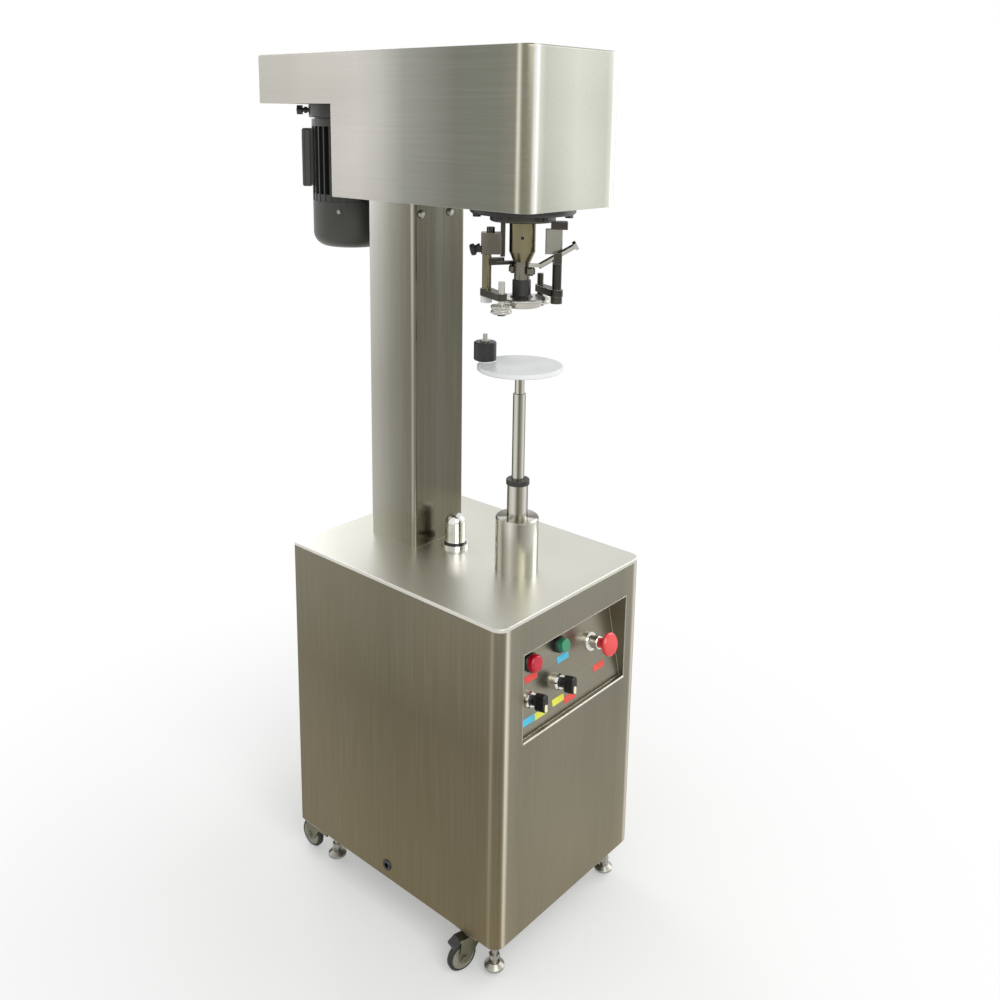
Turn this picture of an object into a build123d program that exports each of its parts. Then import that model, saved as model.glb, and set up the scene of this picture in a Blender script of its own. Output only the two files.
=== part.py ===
from build123d import *
import math
import os

# Can seamer on casters, in millimetres. X runs left to right along the front, Y runs from the
# operator's side to the back, Z is up from the floor. The values below have Y = 0 at the middle of
# the cabinet; save() shifts every piece so that the origin is under the middle of the whole machine.

# Cabinet
cabinet_width = 400
cabinet_depth = 525
cabinet_bottom = 80
table_height = 680
table_thickness = 6
table_edge = 0.8
sheet = 2
front_corner_radius = 20
cabinet_flange = 25
pan_thickness = 3
seat_gap = 0.2
edge_break = 1
edge_round = 1.5
clearance_hole = 2

# Back cover of the cabinet
rear_panel_width = 320
rear_panel_height = 470
rear_panel_lap = 12
louvre_count = 7
louvre_length = 180
louvre_height = 14
louvre_pitch = 26
louvre_rise = 7
panel_screw_radius = 3

# Switchgear inside and the cable entries
electrics_width = 260
electrics_height = 300
electrics_bottom = 200
electrics_standoff = 12
spacer_inset = 25
spacer_radius = 6
device_count = 4
device_height = 90
device_depth = 70
grommet_y = 10
grommet_z = 107
grommet_radius = 8
grommet_bore = 5
grommet_lip = 3
grommet_lip_height = 2
gland_x = -120
gland_below_panel = 12
gland_thread_radius = 8
gland_thread_length = 9
gland_bore = 4
gland_nut_radius = 13
gland_nut_height = 6
gland_dome_height = 6
gland_dome_inset = 2
gland_length = 22

# Control panel, set back in the front wall and leaning away from the operator
panel_left = -140
panel_right = 155
panel_drop = 229
panel_height = 163
panel_bottom_depth = 9
panel_top_depth = 45
panel_sheet = 1.5
panel_flange = 12

# Controls on the panel: distance from the machine's middle, distance up the slope
control_hole_radius = 11
control_fit = 0.1
barrel_radius = control_hole_radius - control_fit
barrel_depth = 12
contact_block_width = 28
contact_block_depth = 32
stem_radius = 5
pocket_floor = 1
lock_nut_height = 4
lock_nut_rim = 4
running_fit = 0.05
lamp_place = (-81, 117)
lamp_bezel_radius = 17
lamp_bezel_height = 6
bezel_bevel = 2
lamp_lens_radius = 15.5
lamp_lens_height = 18
lamp_rounding = 7
start_place = (-5, 121)
start_bezel_radius = 15
start_bezel_height = 9
start_cap_radius = 12
start_cap_height = 21
start_travel = 5
start_rounding = 2
stop_place = (83, 93)
stop_collar_radius = 17
stop_collar_step = 5
stop_collar_height = 25
stop_collar_wall = 3
stop_cap_radius = 21
stop_cap_thickness = 17
stop_height = 51
stop_rounding = 3
stop_neck_radius = 9
stop_travel = 6
stop_rim = 4
selector_places = [(-103, 61), (-23, 60)]
selector_collar_radius = 14.5
selector_collar_height = 12
selector_collar_bevel = 2.5
selector_collar_bevel_height = 4
selector_knob_radius = 9
selector_knob_height = 12
selector_lever_length = 30
selector_lever_width = 13
selector_lever_height = 18
selector_heading = -105
selector_lever_offset = 1.5

# Casters and levelling feet
wheel_radius = 28
wheel_width = 14
wheel_bore_radius = 4
tyre_depth = 6
hub_wall_radius = 9
web_depth = 3
tyre_shoulder = 4
tyre_bevel = 3
caster_trail = 30
caster_side_inset = 30
caster_front_inset = 73.5
caster_rear_inset = 26.5
caster_plate_size = 56
caster_plate_thickness = 4
caster_plate_corner = 5
raceway_radius = 17
raceway_height = 2
caster_fit = 0.3
caster_head_radius = 22
caster_head_height = 7
caster_stud_radius = 5
caster_stud_head_rim = 3
caster_stud_head_height = 3
fork_sheet = 3
fork_gap = 1
cheek_back = 27
cheek_back_depth = 16
cheek_axle_rim = 9
pedal_reach = 52
pedal_thickness = 4
pedal_drop = 8
axle_head_radius = 7
axle_head_height = 3
foot_side_inset = 35
foot_setback = 40
foot_pad_radius = 18
foot_pad_height = 10
foot_rim_height = 4
foot_socket_rim = 4
foot_clearance = 12
foot_stud_radius = 6
foot_stud_top = 140
foot_nut_radius = 10
foot_nut_height = 8
rest_headings = {
    "front_left": 165,
    "front_right": 200,
    "rear_left": 90,
    "rear_right": 0,
}

# Column
column_width = 132
column_depth = 122
column_front = 71
column_corner_radius = 7
column_wall = 4
column_plate_thickness = 10
column_bolt_spacing = 84
column_bolt_radius = 6
column_bolt_head_radius = 11
column_bolt_head_height = 8
front_bolt_places = (-48, 26)
front_bolt_height = 1310
front_bolt_radius = 4
front_bolt_head_rim = 4
front_bolt_head_height = 5
front_bolt_head_bevel = 2

# Head: plate, hood, bearing housing
head_plate_bottom = 1502
head_plate_thickness = 12
hood_width = 241
hood_front = -232.5
hood_rear = 435.5
hood_step = 227.5
hood_bottom = 1335
hood_rear_bottom = 1500
hood_top = 1590
hood_corner_radius = 19
hood_edge_radius = 4
spindle_y = -124.3
housing_radius = 55
housing_flange_radius = 88
housing_flange_thickness = 12
bearing_inner_radius = 20
bearing_outer_radius = 34
bearing_width = 15
bearing_shoulder_radius = 29
bearing_cover_radius = 90
bearing_cover_thickness = 12
cover_bolt_circle = 78
cover_bolt_count = 6
cover_bolt_radius = 4
cover_bolt_head_radius = 7
cover_bolt_head_height = 7
cover_hole_radius = 60
bearing_lip = 4
housing_step = 6
housing_step_height = 10
housing_bore_gap = 3
race_recess = 1.5
cover_bevel = 3
turret_gap = 1

# Motor and drive
motor_y = 312
motor_radius = 75
motor_flange_radius = 80
motor_flange_thickness = 27
motor_mouth_gap = 4
motor_flange_bevel = 2
motor_body_top = 1473
motor_body_bottom = 1318
motor_core_radius = 64
motor_fin_count = 32
motor_fin_width = 3.5
fan_cover_bottom = 1230
fan_cover_corner = 28
fan_cover_wall = 2
fan_slot_count = 5
fan_slot_margin = 4
motor_bolt_circle = 66
motor_bolt_radius = 5
motor_bolt_head_radius = 9
motor_bolt_head_height = 6
shield_height = 14
terminal_box_front = 287
terminal_box_rear = 337
terminal_box_side = 92
terminal_box_bottom = 1345
terminal_box_height = 110
terminal_seat_rise = 2
terminal_turn = -45
terminal_seat_inset = 4
terminal_seat_root = 8
terminal_box_corner = 6
terminal_lid_bevel = 2
motor_spigot_inset = 6
motor_shaft_radius = 12
motor_pulley_radius = 35
spindle_pulley_radius = 70
pulley_width = 22
pulley_clearance = 16
pulley_end_gap = 4
pulley_hub_wall = 12
pulley_rim_wall = 6
groove_depth = 11
belt_width = 13
belt_taper = 1.5
belt_thickness = 8
belt_gap = 0.3
pulley_seat_radius = 17
pulley_recess = 5
anchor_clearance = 12
anchor_width = 22
anchor_leg = 8
anchor_gap = 4
shaft_thread_radius = 9
shaft_nut_radius = 16
shaft_nut_height = 9
shaft_thread_rise = 14

# Seaming head, below the hood. Angles turn about the spindle, seen from above.
head_turn = -50.2
shaft_radius = 13.5
chuck_bottom = 1164
chuck_nose_radius = 34
chuck_nose_height = 11
chuck_flange_radius = 42
chuck_flange_thickness = 5
hub_radius = 16
hub_height = 30
hub_flare = 4
chuck_recess = 2
chuck_rim = 5
chuck_floor = 8
chuck_seat_radius = 8
cone_bottom = 1241
cone_height = 17
cone_boss_radius = 22.5
cone_top_bevel = 2
set_screw_radius = 3
set_screw_depth = 4
cone_lip = 1.5
cone_stop_gap = 0.3
set_screw_height = 1283
carrier_radius = 56
carrier_thickness = 12
carrier_bolt_circle = 46
carrier_bolt_radius = 4.5
carrier_bolt_depth = 6
arm_post_reach = 60
arm_pin_radius = 4
arm_barrel_radius = 8
arm_barrel_top = 1252
arm_link_thickness = 12
arm_link_bottom = 1181.5
arm_eye_radius = 11
roller_out = (27, -53)
roller_radius = 18
roller_bottom = 1160
roller_height = 14
roller_pin_radius = 4
roller_stem_radius = 5.5
roller_eye_radius = 9
roller_nut_height = 20
pin_head_height = 3.5
pin_head_rim = 3
seam_groove_depth = 1.8
follower_radius = 7.5
follower_bottom = 1221
follower_height = 12
follower_angle = 136
follower_pin_radius = 2.5
follower_eye_radius = 5
follower_head_rim = 1.5
follower_head_height = 2
tongue_thickness = 6
tongue_share = 0.6
knee_radius = 6
pin_cap_radius = 10
pin_cap_height = 12
knob_radius = 10
knob_height = 18
knob_flutes = 12
knob_gap = 1
knob_stem_radius = 3
knob_waist_radius = 6.5
knob_tilt = 15
knob_foot_height = 3
knob_waist_bottom = 6
knob_waist_top = 8
knob_grip_bottom = 10
knob_bevel = 2
flute_radius = 1.6
flute_offset = 0.6
hanger_half_width = 13
hanger_leg_outer = 37
hanger_leg_thickness = 8
hanger_leg_bottom = 1250
clamp_bottom = 1253.5
clamp_top = 1290
clamp_split = 1.5
clamp_corner = 6
clamp_screw_offset = 6
clamp_screw_head_radius = 7
clamp_screw_head_height = 9
bracket_corner = 3
bracket_gap = 3
hanger_top_outer = 76
hanger_top_inner = 48
hanger_top_height = 13
hanger_bracket_inner = 39
bracket_half_width = 9
rod_outer_reach = 92
rod_inner_reach = 28
rod_outer_height = 1273
rod_side = 16
link_rod_radius = 5
rod_head_radius = 8
rod_head_height = 6
rod_foot_offset = 4
lug_half_width = 7
lug_wall = 2
lug_height = 12
lug_rise = 7

# Lifter
lifter_base_radius = 39
lifter_base_height = 101
sleeve_radius = 18.8
sleeve_rise = 20
sleeve_length = 142
sleeve_floor = 12
sleeve_slot_length = 120
sleeve_slot_width = 6
sleeve_slot_depth = 5
sleeve_slot_turn = 20
base_clamp_rise = 63
base_clamp_radius = 3.5
base_clamp_depth = 16
lifter_base_bevel = 2
lock_ring_radius = 21
lock_ring_height = 9
rod_radius = 11.35
rod_neck_radius = 8.5
rod_neck_bottom = 1009
disc_bottom = 1051
disc_radius = 75
disc_thickness = 9
disc_spigot_radius = 6
disc_screw_circle = 26
disc_screw_radius = 4.5
disc_screw_height = 5
disc_floor = 2
rod_travel = 100
piston_rod_radius = 8
actuator_radius = 32
actuator_flange_radius = 45
actuator_length = 154
actuator_tube_inset = 3
actuator_port_radius = 5
actuator_port_length = 12
rod_end_gap = 5
actuator_cap = 16
actuator_flange = 10
piston_rod_length = 130
guide_place = (-18.6, 65.3)
guide_roller_radius = 20
guide_roller_height = 33
guide_stud_radius = 5
guide_washer_rim = 4
guide_washer_height = 3
guide_stud_top = 1108
guide_pad_height = 1
dome_cap_y = 28
dome_radius = 19
dome_flange_radius = 25.5
dome_height = 63
dome_flange_height = 6
dome_ring_height = 5
dome_ring_rim = 2.5
dome_flat_radius = 3

# Places that follow from the sizes above
half_width = cabinet_width / 2
half_depth = cabinet_depth / 2
front_face = -half_depth
rear_face = half_depth
shell_top = table_height - table_thickness
panel_bottom = table_height - panel_drop
caster_side = half_width - caster_side_inset
caster_front = front_face + caster_front_inset
caster_rear = rear_face - caster_rear_inset
foot_side = half_width - foot_side_inset
gland_z = (cabinet_bottom + shell_top) / 2 - rear_panel_height / 2 - gland_below_panel
panel_tilt = math.degrees(math.atan((panel_top_depth - panel_bottom_depth) / panel_height))
tilt_sine = math.sin(math.radians(panel_tilt))
tilt_cosine = math.cos(math.radians(panel_tilt))
stop_reach = stop_height * tilt_cosine + (stop_cap_radius - stop_rounding) * tilt_sine
machine_front = front_face + panel_bottom_depth + stop_place[1] * tilt_sine - stop_reach
middle_y = (machine_front + hood_rear) / 2
head_plate_top = head_plate_bottom + head_plate_thickness
pulley_middle = head_plate_top + pulley_clearance + pulley_width / 2
spindle_top = pulley_middle + pulley_width / 2 + pulley_end_gap
anchor_bottom = spindle_top + anchor_gap
anchor_top = anchor_bottom + anchor_leg
shaft_top = anchor_top + shaft_thread_rise
column_rear = column_front + column_depth
cover_bottom = hood_bottom - bearing_cover_thickness
carrier_top = cover_bottom - turret_gap
carrier_bottom = carrier_top - carrier_thickness
chuck_top = chuck_bottom + chuck_nose_height + chuck_flange_thickness
hub_top = chuck_top + hub_height
roller_top = roller_bottom + roller_height
motor_body_height = motor_body_top - motor_body_bottom
terminal_box_top = terminal_box_bottom + terminal_box_height
disc_top = disc_bottom + disc_thickness
sleeve_bottom = table_height + sleeve_rise
sleeve_top = sleeve_bottom + sleeve_length
base_clamp_height = table_height + base_clamp_rise
actuator_bottom = shell_top - actuator_length
rod_bottom = sleeve_bottom + sleeve_floor + rod_travel + seat_gap
piston_rod_bottom = sleeve_bottom - piston_rod_length


def cylinder(radius, bottom, top, x=0, y=0):
    at_base = (Align.CENTER, Align.CENTER, Align.MIN)
    return Pos(x, y, bottom) * Cylinder(radius, top - bottom, align=at_base)


def block(x_range, y_range, z_range):
    low = (x_range[0], y_range[0], z_range[0])
    size = [side[1] - side[0] for side in (x_range, y_range, z_range)]
    return Pos(*low) * Box(*size, align=(Align.MIN, Align.MIN, Align.MIN))


def revolved(points, x=0, y=0):
    """Body of revolution about a vertical axis, from (radius, height) points."""
    profile = Polyline(*[(radius, 0, height) for radius, height in points], close=True)
    return Pos(x, y, 0) * revolve(make_face(profile), Axis.Z)


def front_rounded(width, front, rear, radius):
    """Rectangle seen from above whose two front corners are rounded."""
    outline = Pos(0, (front + rear) / 2) * Rectangle(width, rear - front)
    return fillet(outline.vertices().sort_by(Axis.Y)[:2], radius)


def hexagon_bolt(radius, bottom, length, head_radius, head_height, x, y):
    """Bolt that points up, with its hexagon head below."""
    head = Pos(x, y, bottom - head_height) * extrude(RegularPolygon(head_radius, 6), head_height)
    return head + cylinder(radius, bottom, bottom + length, x, y)


def on_panel(place, height=0):
    """Location on the panel's face, with Z out of it and Y up the slope."""
    across, up_slope = place
    y = front_face + panel_bottom_depth + up_slope * tilt_sine - height * tilt_cosine
    z = panel_bottom + up_slope * tilt_cosine + height * tilt_sine
    return Location((across, y, z), (90 - panel_tilt, 0, 0))


def save(node, *pieces):
    solids = [solid for piece in pieces for solid in piece.solids()]
    placed = [solid.moved(Location((0, -middle_y, 0))) for solid in solids]
    shape = placed[0] if len(placed) == 1 else Compound(children=placed)
    export_step(shape, f"parts/{node}.step")


# Cabinet

def cabinet_ring(inset, bottom, top):
    outline = front_rounded(
        cabinet_width - 2 * inset, front_face + inset, rear_face - inset, front_corner_radius - inset
    )
    return Pos(0, 0, bottom) * extrude(outline, top - bottom)


def rear_opening():
    half_opening = rear_panel_width / 2 - rear_panel_lap
    middle = (cabinet_bottom + shell_top) / 2
    half_height = rear_panel_height / 2 - rear_panel_lap
    return block(
        (-half_opening, half_opening),
        (rear_face - 2 * sheet, rear_face + sheet),
        (middle - half_height, middle + half_height),
    )


def panel_opening():
    edge = panel_sheet + seat_gap
    return block(
        (panel_left - edge, panel_right + edge),
        (front_face - sheet, front_face + 2 * sheet),
        (panel_bottom - edge, panel_bottom + panel_height + edge),
    )


def cabinet_shell():
    shell = cabinet_ring(0, cabinet_bottom, shell_top) - cabinet_ring(sheet, cabinet_bottom, shell_top)
    opening = Pos(0, 0, shell_top - sheet) * extrude(
        Rectangle(cabinet_width - 2 * cabinet_flange, cabinet_depth - 2 * cabinet_flange), sheet
    )
    top_flange = cabinet_ring(sheet / 2, shell_top - sheet, shell_top) - opening
    shell += top_flange
    shell -= rear_opening()
    shell -= panel_opening()
    shell -= Pos(-half_width, grommet_y, grommet_z) * Rot(0, 90, 0) * Cylinder(grommet_radius, 4 * sheet)
    shell -= Pos(gland_x, rear_face, gland_z) * Rot(90, 0, 0) * Cylinder(gland_thread_radius, 4 * sheet)
    return shell


def table_top():
    plate = cabinet_ring(0, shell_top, table_height)
    plate = chamfer(plate.edges().group_by(Axis.Z)[-1], table_edge)
    plate -= cylinder(piston_rod_radius + edge_break, shell_top, table_height, 0, spindle_y)
    for x, y in column_bolt_places():
        plate -= cylinder(column_bolt_radius + seat_gap, shell_top, table_height, x, y)
    return plate


def base_pan():
    pan = cabinet_ring(sheet + seat_gap, cabinet_bottom, cabinet_bottom + pan_thickness)
    for x, y in foot_places().values():
        pan -= cylinder(foot_stud_radius + running_fit, 0, table_height, x, y)
    for x, y in caster_places().values():
        pan += caster_plate(x, y)
    return pan


def rear_panel():
    middle = (cabinet_bottom + shell_top) / 2
    plate = Pos(0, rear_face, middle) * Rot(-90, 0, 0) * extrude(
        Rectangle(rear_panel_width, rear_panel_height), sheet
    )
    first = middle - (louvre_count - 1) * louvre_pitch / 2
    for index in range(louvre_count):
        z = first + index * louvre_pitch
        hood_profile = Polyline(
            (0, rear_face + sheet, z + louvre_height),
            (0, rear_face + sheet + louvre_rise, z),
            (0, rear_face + sheet, z),
            close=True,
        )
        hood_body = extrude(make_face(hood_profile), louvre_length / 2, both=True)
        mouth = block(
            (-louvre_length / 2 + sheet, louvre_length / 2 - sheet),
            (rear_face - sheet, rear_face + sheet + louvre_rise / 2),
            (z - sheet, z + louvre_height / 3),
        )
        plate += hood_body
        plate -= mouth
    for x in (-1, 1):
        for z in (-1, 0, 1):
            across = x * (rear_panel_width - rear_panel_lap) / 2
            up = middle + z * (rear_panel_height - rear_panel_lap) / 2
            plate -= Pos(across, rear_face, up) * Rot(90, 0, 0) * Cylinder(panel_screw_radius, 4 * sheet)
    return plate


def electrics_plate():
    """Mounting plate with switchgear on a rail, on four spacers at the right wall."""
    wall = half_width - sheet
    face = wall - electrics_standoff
    plate = block(
        (face - pan_thickness, face),
        (-electrics_width / 2, electrics_width / 2),
        (electrics_bottom, electrics_bottom + electrics_height),
    )
    for y in (-1, 1):
        for z in (0, 1):
            spacer_y = y * (electrics_width / 2 - spacer_inset)
            spacer_z = electrics_bottom + spacer_inset + z * (electrics_height - 2 * spacer_inset)
            spacer = Pos(face, spacer_y, spacer_z) * Rot(0, 90, 0) * Cylinder(
                spacer_radius, electrics_standoff, align=(Align.CENTER, Align.CENTER, Align.MIN)
            )
            plate += spacer
    device_top = electrics_bottom + electrics_height - spacer_inset
    step = (electrics_width - 2 * spacer_inset) / device_count
    for index in range(device_count):
        start = -electrics_width / 2 + spacer_inset + index * step
        plate += block(
            (face - pan_thickness - device_depth, face - pan_thickness),
            (start + edge_break, start + step - edge_break),
            (device_top - device_height, device_top),
        )
    return plate


def cable_entries():
    grommet_profile = [
        (grommet_bore, -sheet - grommet_lip_height),
        (grommet_radius + grommet_lip, -sheet - grommet_lip_height),
        (grommet_radius + grommet_lip, -sheet),
        (grommet_radius, -sheet),
        (grommet_radius, 0),
        (grommet_radius + grommet_lip, 0),
        (grommet_radius + grommet_lip - edge_break, grommet_lip_height),
        (grommet_bore, grommet_lip_height),
    ]
    grommet = Pos(-half_width, grommet_y, grommet_z) * Rot(0, -90, 0) * revolved(grommet_profile)
    nut = extrude(RegularPolygon(gland_nut_radius, 6), gland_nut_height)
    dome_profile = [
        (gland_bore, -gland_thread_length),
        (gland_thread_radius, -gland_thread_length),
        (gland_thread_radius, gland_nut_height),
        (gland_nut_radius - gland_dome_inset, gland_nut_height),
        (gland_nut_radius - gland_dome_inset, gland_nut_height + gland_dome_height),
        (gland_bore + gland_dome_inset, gland_length),
        (gland_bore, gland_length),
    ]
    gland = nut - Cylinder(gland_bore, 4 * gland_length) + revolved(dome_profile)
    gland = Pos(gland_x, rear_face, gland_z) * Rot(-90, 0, 0) * gland
    return [grommet, gland]


# Control panel

def panel_wedge(grow):
    """Space of the recess, grown by the tray's sheet on all sides but the front."""
    low = panel_bottom - grow
    high = panel_bottom + panel_height + grow
    slope = (panel_top_depth - panel_bottom_depth) / panel_height
    back = front_face + panel_bottom_depth + grow / tilt_cosine
    side = Polyline(
        (0, front_face, low),
        (0, back - grow * slope, low),
        (0, back + (panel_height + grow) * slope, high),
        (0, front_face, high),
        close=True,
    )
    width = panel_right - panel_left + 2 * grow
    middle = (panel_left + panel_right) / 2
    return Pos(middle, 0, 0) * extrude(make_face(side), width / 2, both=True)


def control_places():
    return [lamp_place, start_place, stop_place] + selector_places


def control_panel():
    tray = panel_wedge(panel_sheet) - panel_wedge(0)
    outer = panel_sheet + seat_gap + panel_flange
    flange = block(
        (panel_left - outer, panel_right + outer),
        (front_face + sheet, front_face + sheet + panel_sheet),
        (panel_bottom - outer, panel_bottom + panel_height + outer),
    )
    tray += flange - panel_wedge(panel_sheet)
    for place in control_places():
        tray -= on_panel(place) * Cylinder(control_hole_radius, 6 * panel_sheet)
    return tray


def collar(place, profile, travel=0):
    """Collar on the panel, its barrel through the hole, and the contact block behind."""
    head = revolved(profile)
    barrel_bottom = -panel_sheet - barrel_depth
    body = head + cylinder(barrel_radius, barrel_bottom, 0)
    lock_nut = extrude(RegularPolygon(barrel_radius + lock_nut_rim, 6), -lock_nut_height)
    body += Pos(0, 0, -panel_sheet) * lock_nut
    half = contact_block_width / 2
    body += block(
        (-half, half), (-half, half), (barrel_bottom - contact_block_depth, barrel_bottom)
    )
    stem_floor = -barrel_depth - travel - seat_gap
    body -= cylinder(stem_radius + running_fit, stem_floor, stop_height)
    return on_panel(place) * body


def panel_fittings():
    lamp = [
        (0, 0),
        (lamp_bezel_radius, 0),
        (lamp_bezel_radius, lamp_bezel_height - bezel_bevel),
        (lamp_bezel_radius - bezel_bevel, lamp_bezel_height),
        (0, lamp_bezel_height),
    ]
    start = [
        (0, 0),
        (start_bezel_radius, 0),
        (start_bezel_radius, start_bezel_height - bezel_bevel),
        (start_bezel_radius - edge_round, start_bezel_height),
        (0, start_bezel_height),
    ]
    stop = [
        (0, 0),
        (stop_collar_radius, 0),
        (stop_collar_radius, stop_collar_step),
        (stop_neck_radius + stop_collar_wall, stop_collar_step + edge_break),
        (stop_neck_radius + stop_collar_wall, stop_collar_height - edge_break),
        (stop_neck_radius + stop_collar_wall - edge_break, stop_collar_height),
        (0, stop_collar_height),
    ]
    selector = [
        (0, 0),
        (selector_collar_radius, 0),
        (selector_collar_radius, selector_collar_height - selector_collar_bevel_height),
        (selector_collar_radius - selector_collar_bevel, selector_collar_height),
        (0, selector_collar_height),
    ]
    fittings = [
        collar(lamp_place, lamp),
        collar(start_place, start, start_travel),
        collar(stop_place, stop, stop_travel),
    ]
    for place in selector_places:
        fittings.append(collar(place, selector))
    fittings[1] -= on_panel(start_place) * cylinder(start_cap_radius + running_fit, pocket_floor, stop_height)
    fittings[2] -= on_panel(stop_place) * cylinder(stop_neck_radius + running_fit, pocket_floor, stop_height)
    return fittings


def pilot_lamp():
    lens = cylinder(lamp_lens_radius, lamp_bezel_height, lamp_lens_height)
    lens = fillet(lens.edges().group_by(Axis.Z)[-1], lamp_rounding)
    lens += cylinder(stem_radius, -barrel_depth, lamp_bezel_height)
    return on_panel(lamp_place) * lens


def start_button():
    base = pocket_floor + start_travel + seat_gap
    cap = cylinder(start_cap_radius, base, start_cap_height)
    cap = fillet(cap.edges().group_by(Axis.Z)[-1], start_rounding)
    cap += cylinder(stem_radius, -barrel_depth, base)
    return on_panel(start_place) * cap


def stop_button():
    """Mushroom button: a cone that flares from the neck to a thin rim round the flat face."""
    neck_bottom = pocket_floor + stop_travel + seat_gap
    cap = revolved([
        (0, neck_bottom),
        (stop_neck_radius, neck_bottom),
        (stop_neck_radius, stop_height - stop_cap_thickness),
        (stop_cap_radius, stop_height - stop_rounding - stop_rim),
        (stop_cap_radius, stop_height - stop_rounding),
        (stop_cap_radius - stop_rounding, stop_height),
        (0, stop_height),
    ])
    cap += cylinder(stem_radius, -barrel_depth, neck_bottom)
    return on_panel(stop_place) * cap


def selector(place):
    """Neck with a lever bar across it, pointing down the panel."""
    foot = selector_collar_height + seat_gap
    shoulder = foot + selector_knob_height
    knob = cylinder(selector_knob_radius, foot, shoulder)
    bar = SlotOverall(selector_lever_length, selector_lever_width)
    lever = Pos(0, 0, shoulder - bezel_bevel) * extrude(bar, selector_lever_height + bezel_bevel)
    lever = chamfer(lever.edges().group_by(Axis.Z)[-1], edge_round)
    body = knob + Rot(0, 0, selector_heading) * Pos(selector_lever_offset, 0, 0) * lever
    body += cylinder(stem_radius, -barrel_depth, foot)
    return on_panel(place) * body


# Casters and levelling feet

def caster_places():
    return {
        "front_left": (-caster_side, caster_front),
        "front_right": (caster_side, caster_front),
        "rear_left": (-caster_side, caster_rear),
        "rear_right": (caster_side, caster_rear),
    }


def foot_places():
    return {
        name: (math.copysign(foot_side, x), y - foot_setback) for name, (x, y) in caster_places().items()
    }


def caster_plate(x, y):
    """Top plate under the pan, with the raceway and the swivel stud below it."""
    plate_bottom = cabinet_bottom - caster_plate_thickness
    plate = extrude(
        RectangleRounded(caster_plate_size, caster_plate_size, caster_plate_corner), caster_plate_thickness
    )
    plate = Pos(0, 0, plate_bottom) * plate
    raceway_bottom = plate_bottom - raceway_height
    plate += cylinder(raceway_radius, raceway_bottom, plate_bottom)
    stud_bottom = raceway_bottom - caster_head_height - caster_fit - fork_sheet
    stud_head = caster_stud_radius + caster_stud_head_rim
    plate += cylinder(caster_stud_radius, stud_bottom, plate_bottom)
    plate += cylinder(stud_head, stud_bottom - caster_stud_head_height, stud_bottom - caster_fit)
    plate += cylinder(caster_stud_radius, stud_bottom - edge_break, stud_bottom)
    return Pos(x, y, 0) * plate


def fork_cheek(crown_bottom):
    """Side plate from behind the swivel forward to the axle, which its front end goes round."""
    axle_top = wheel_radius + cheek_axle_rim
    sheet_outline = Polyline(
        (-cheek_back, 0, crown_bottom),
        (caster_trail + cheek_axle_rim / 2, 0, crown_bottom),
        (caster_trail + cheek_axle_rim, 0, axle_top),
        (caster_trail + cheek_axle_rim, 0, wheel_radius - cheek_axle_rim),
        (caster_trail - cheek_axle_rim, 0, wheel_radius - cheek_axle_rim),
        (0, 0, crown_bottom - cheek_back_depth),
        (-cheek_back, 0, crown_bottom - cheek_back_depth),
        close=True,
    )
    cheek = make_face(sheet_outline)
    return fillet(cheek.vertices().sort_by(Axis.Z)[:2], cheek_axle_rim - edge_break)


def brake_pedal(crown_bottom, width):
    """Tread plate that slopes down over the wheel from under the fork's bridge."""
    start = caster_trail - wheel_radius / 2
    middle = caster_trail + cheek_axle_rim
    profile = Polyline(
        (start, 0, crown_bottom),
        (middle, 0, crown_bottom),
        (pedal_reach, 0, crown_bottom - pedal_drop),
        (pedal_reach, 0, crown_bottom - pedal_drop - pedal_thickness),
        (middle, 0, crown_bottom - pedal_thickness),
        (start, 0, crown_bottom - pedal_thickness),
        close=True,
    )
    return extrude(make_face(profile), width / 2, both=True)


def fork(name):
    """Pressed fork: round head, bridge, two cheeks and the axle, with a pedal on the front ones."""
    x, y = caster_places()[name]
    head_top = cabinet_bottom - caster_plate_thickness - raceway_height - caster_fit
    crown_bottom = head_top - caster_head_height
    side = wheel_width / 2 + fork_gap
    width = 2 * (side + fork_sheet)
    crown = cylinder(caster_head_radius, crown_bottom, head_top)
    crown = fillet(crown.edges().group_by(Axis.Z)[-1], raceway_height)
    bridge = block(
        (-cheek_back, caster_trail - wheel_radius / 3),
        (-width / 2, width / 2),
        (crown_bottom - fork_sheet, crown_bottom),
    )
    body = crown + bridge
    for hand in (-1, 1):
        inner = hand * (side + fork_sheet / 2)
        body += Pos(0, inner, 0) * extrude(fork_cheek(crown_bottom), fork_sheet / 2, both=True)
    if name.startswith("front"):
        body += brake_pedal(crown_bottom, width)
    axle_length = width + 2 * axle_head_height
    axle = Pos(caster_trail, 0, wheel_radius) * Rot(90, 0, 0)
    body += axle * Cylinder(wheel_bore_radius - running_fit, axle_length)
    for hand in (-1, 1):
        head = Pos(0, 0, hand * (width + axle_head_height) / 2) * extrude(
            RegularPolygon(axle_head_radius, 6), axle_head_height / 2, both=True
        )
        body += axle * head
    body -= cylinder(caster_stud_radius + caster_fit, crown_bottom - fork_sheet, head_top)
    return Pos(x, y, 0) * Rot(0, 0, rest_headings[name]) * body


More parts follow.
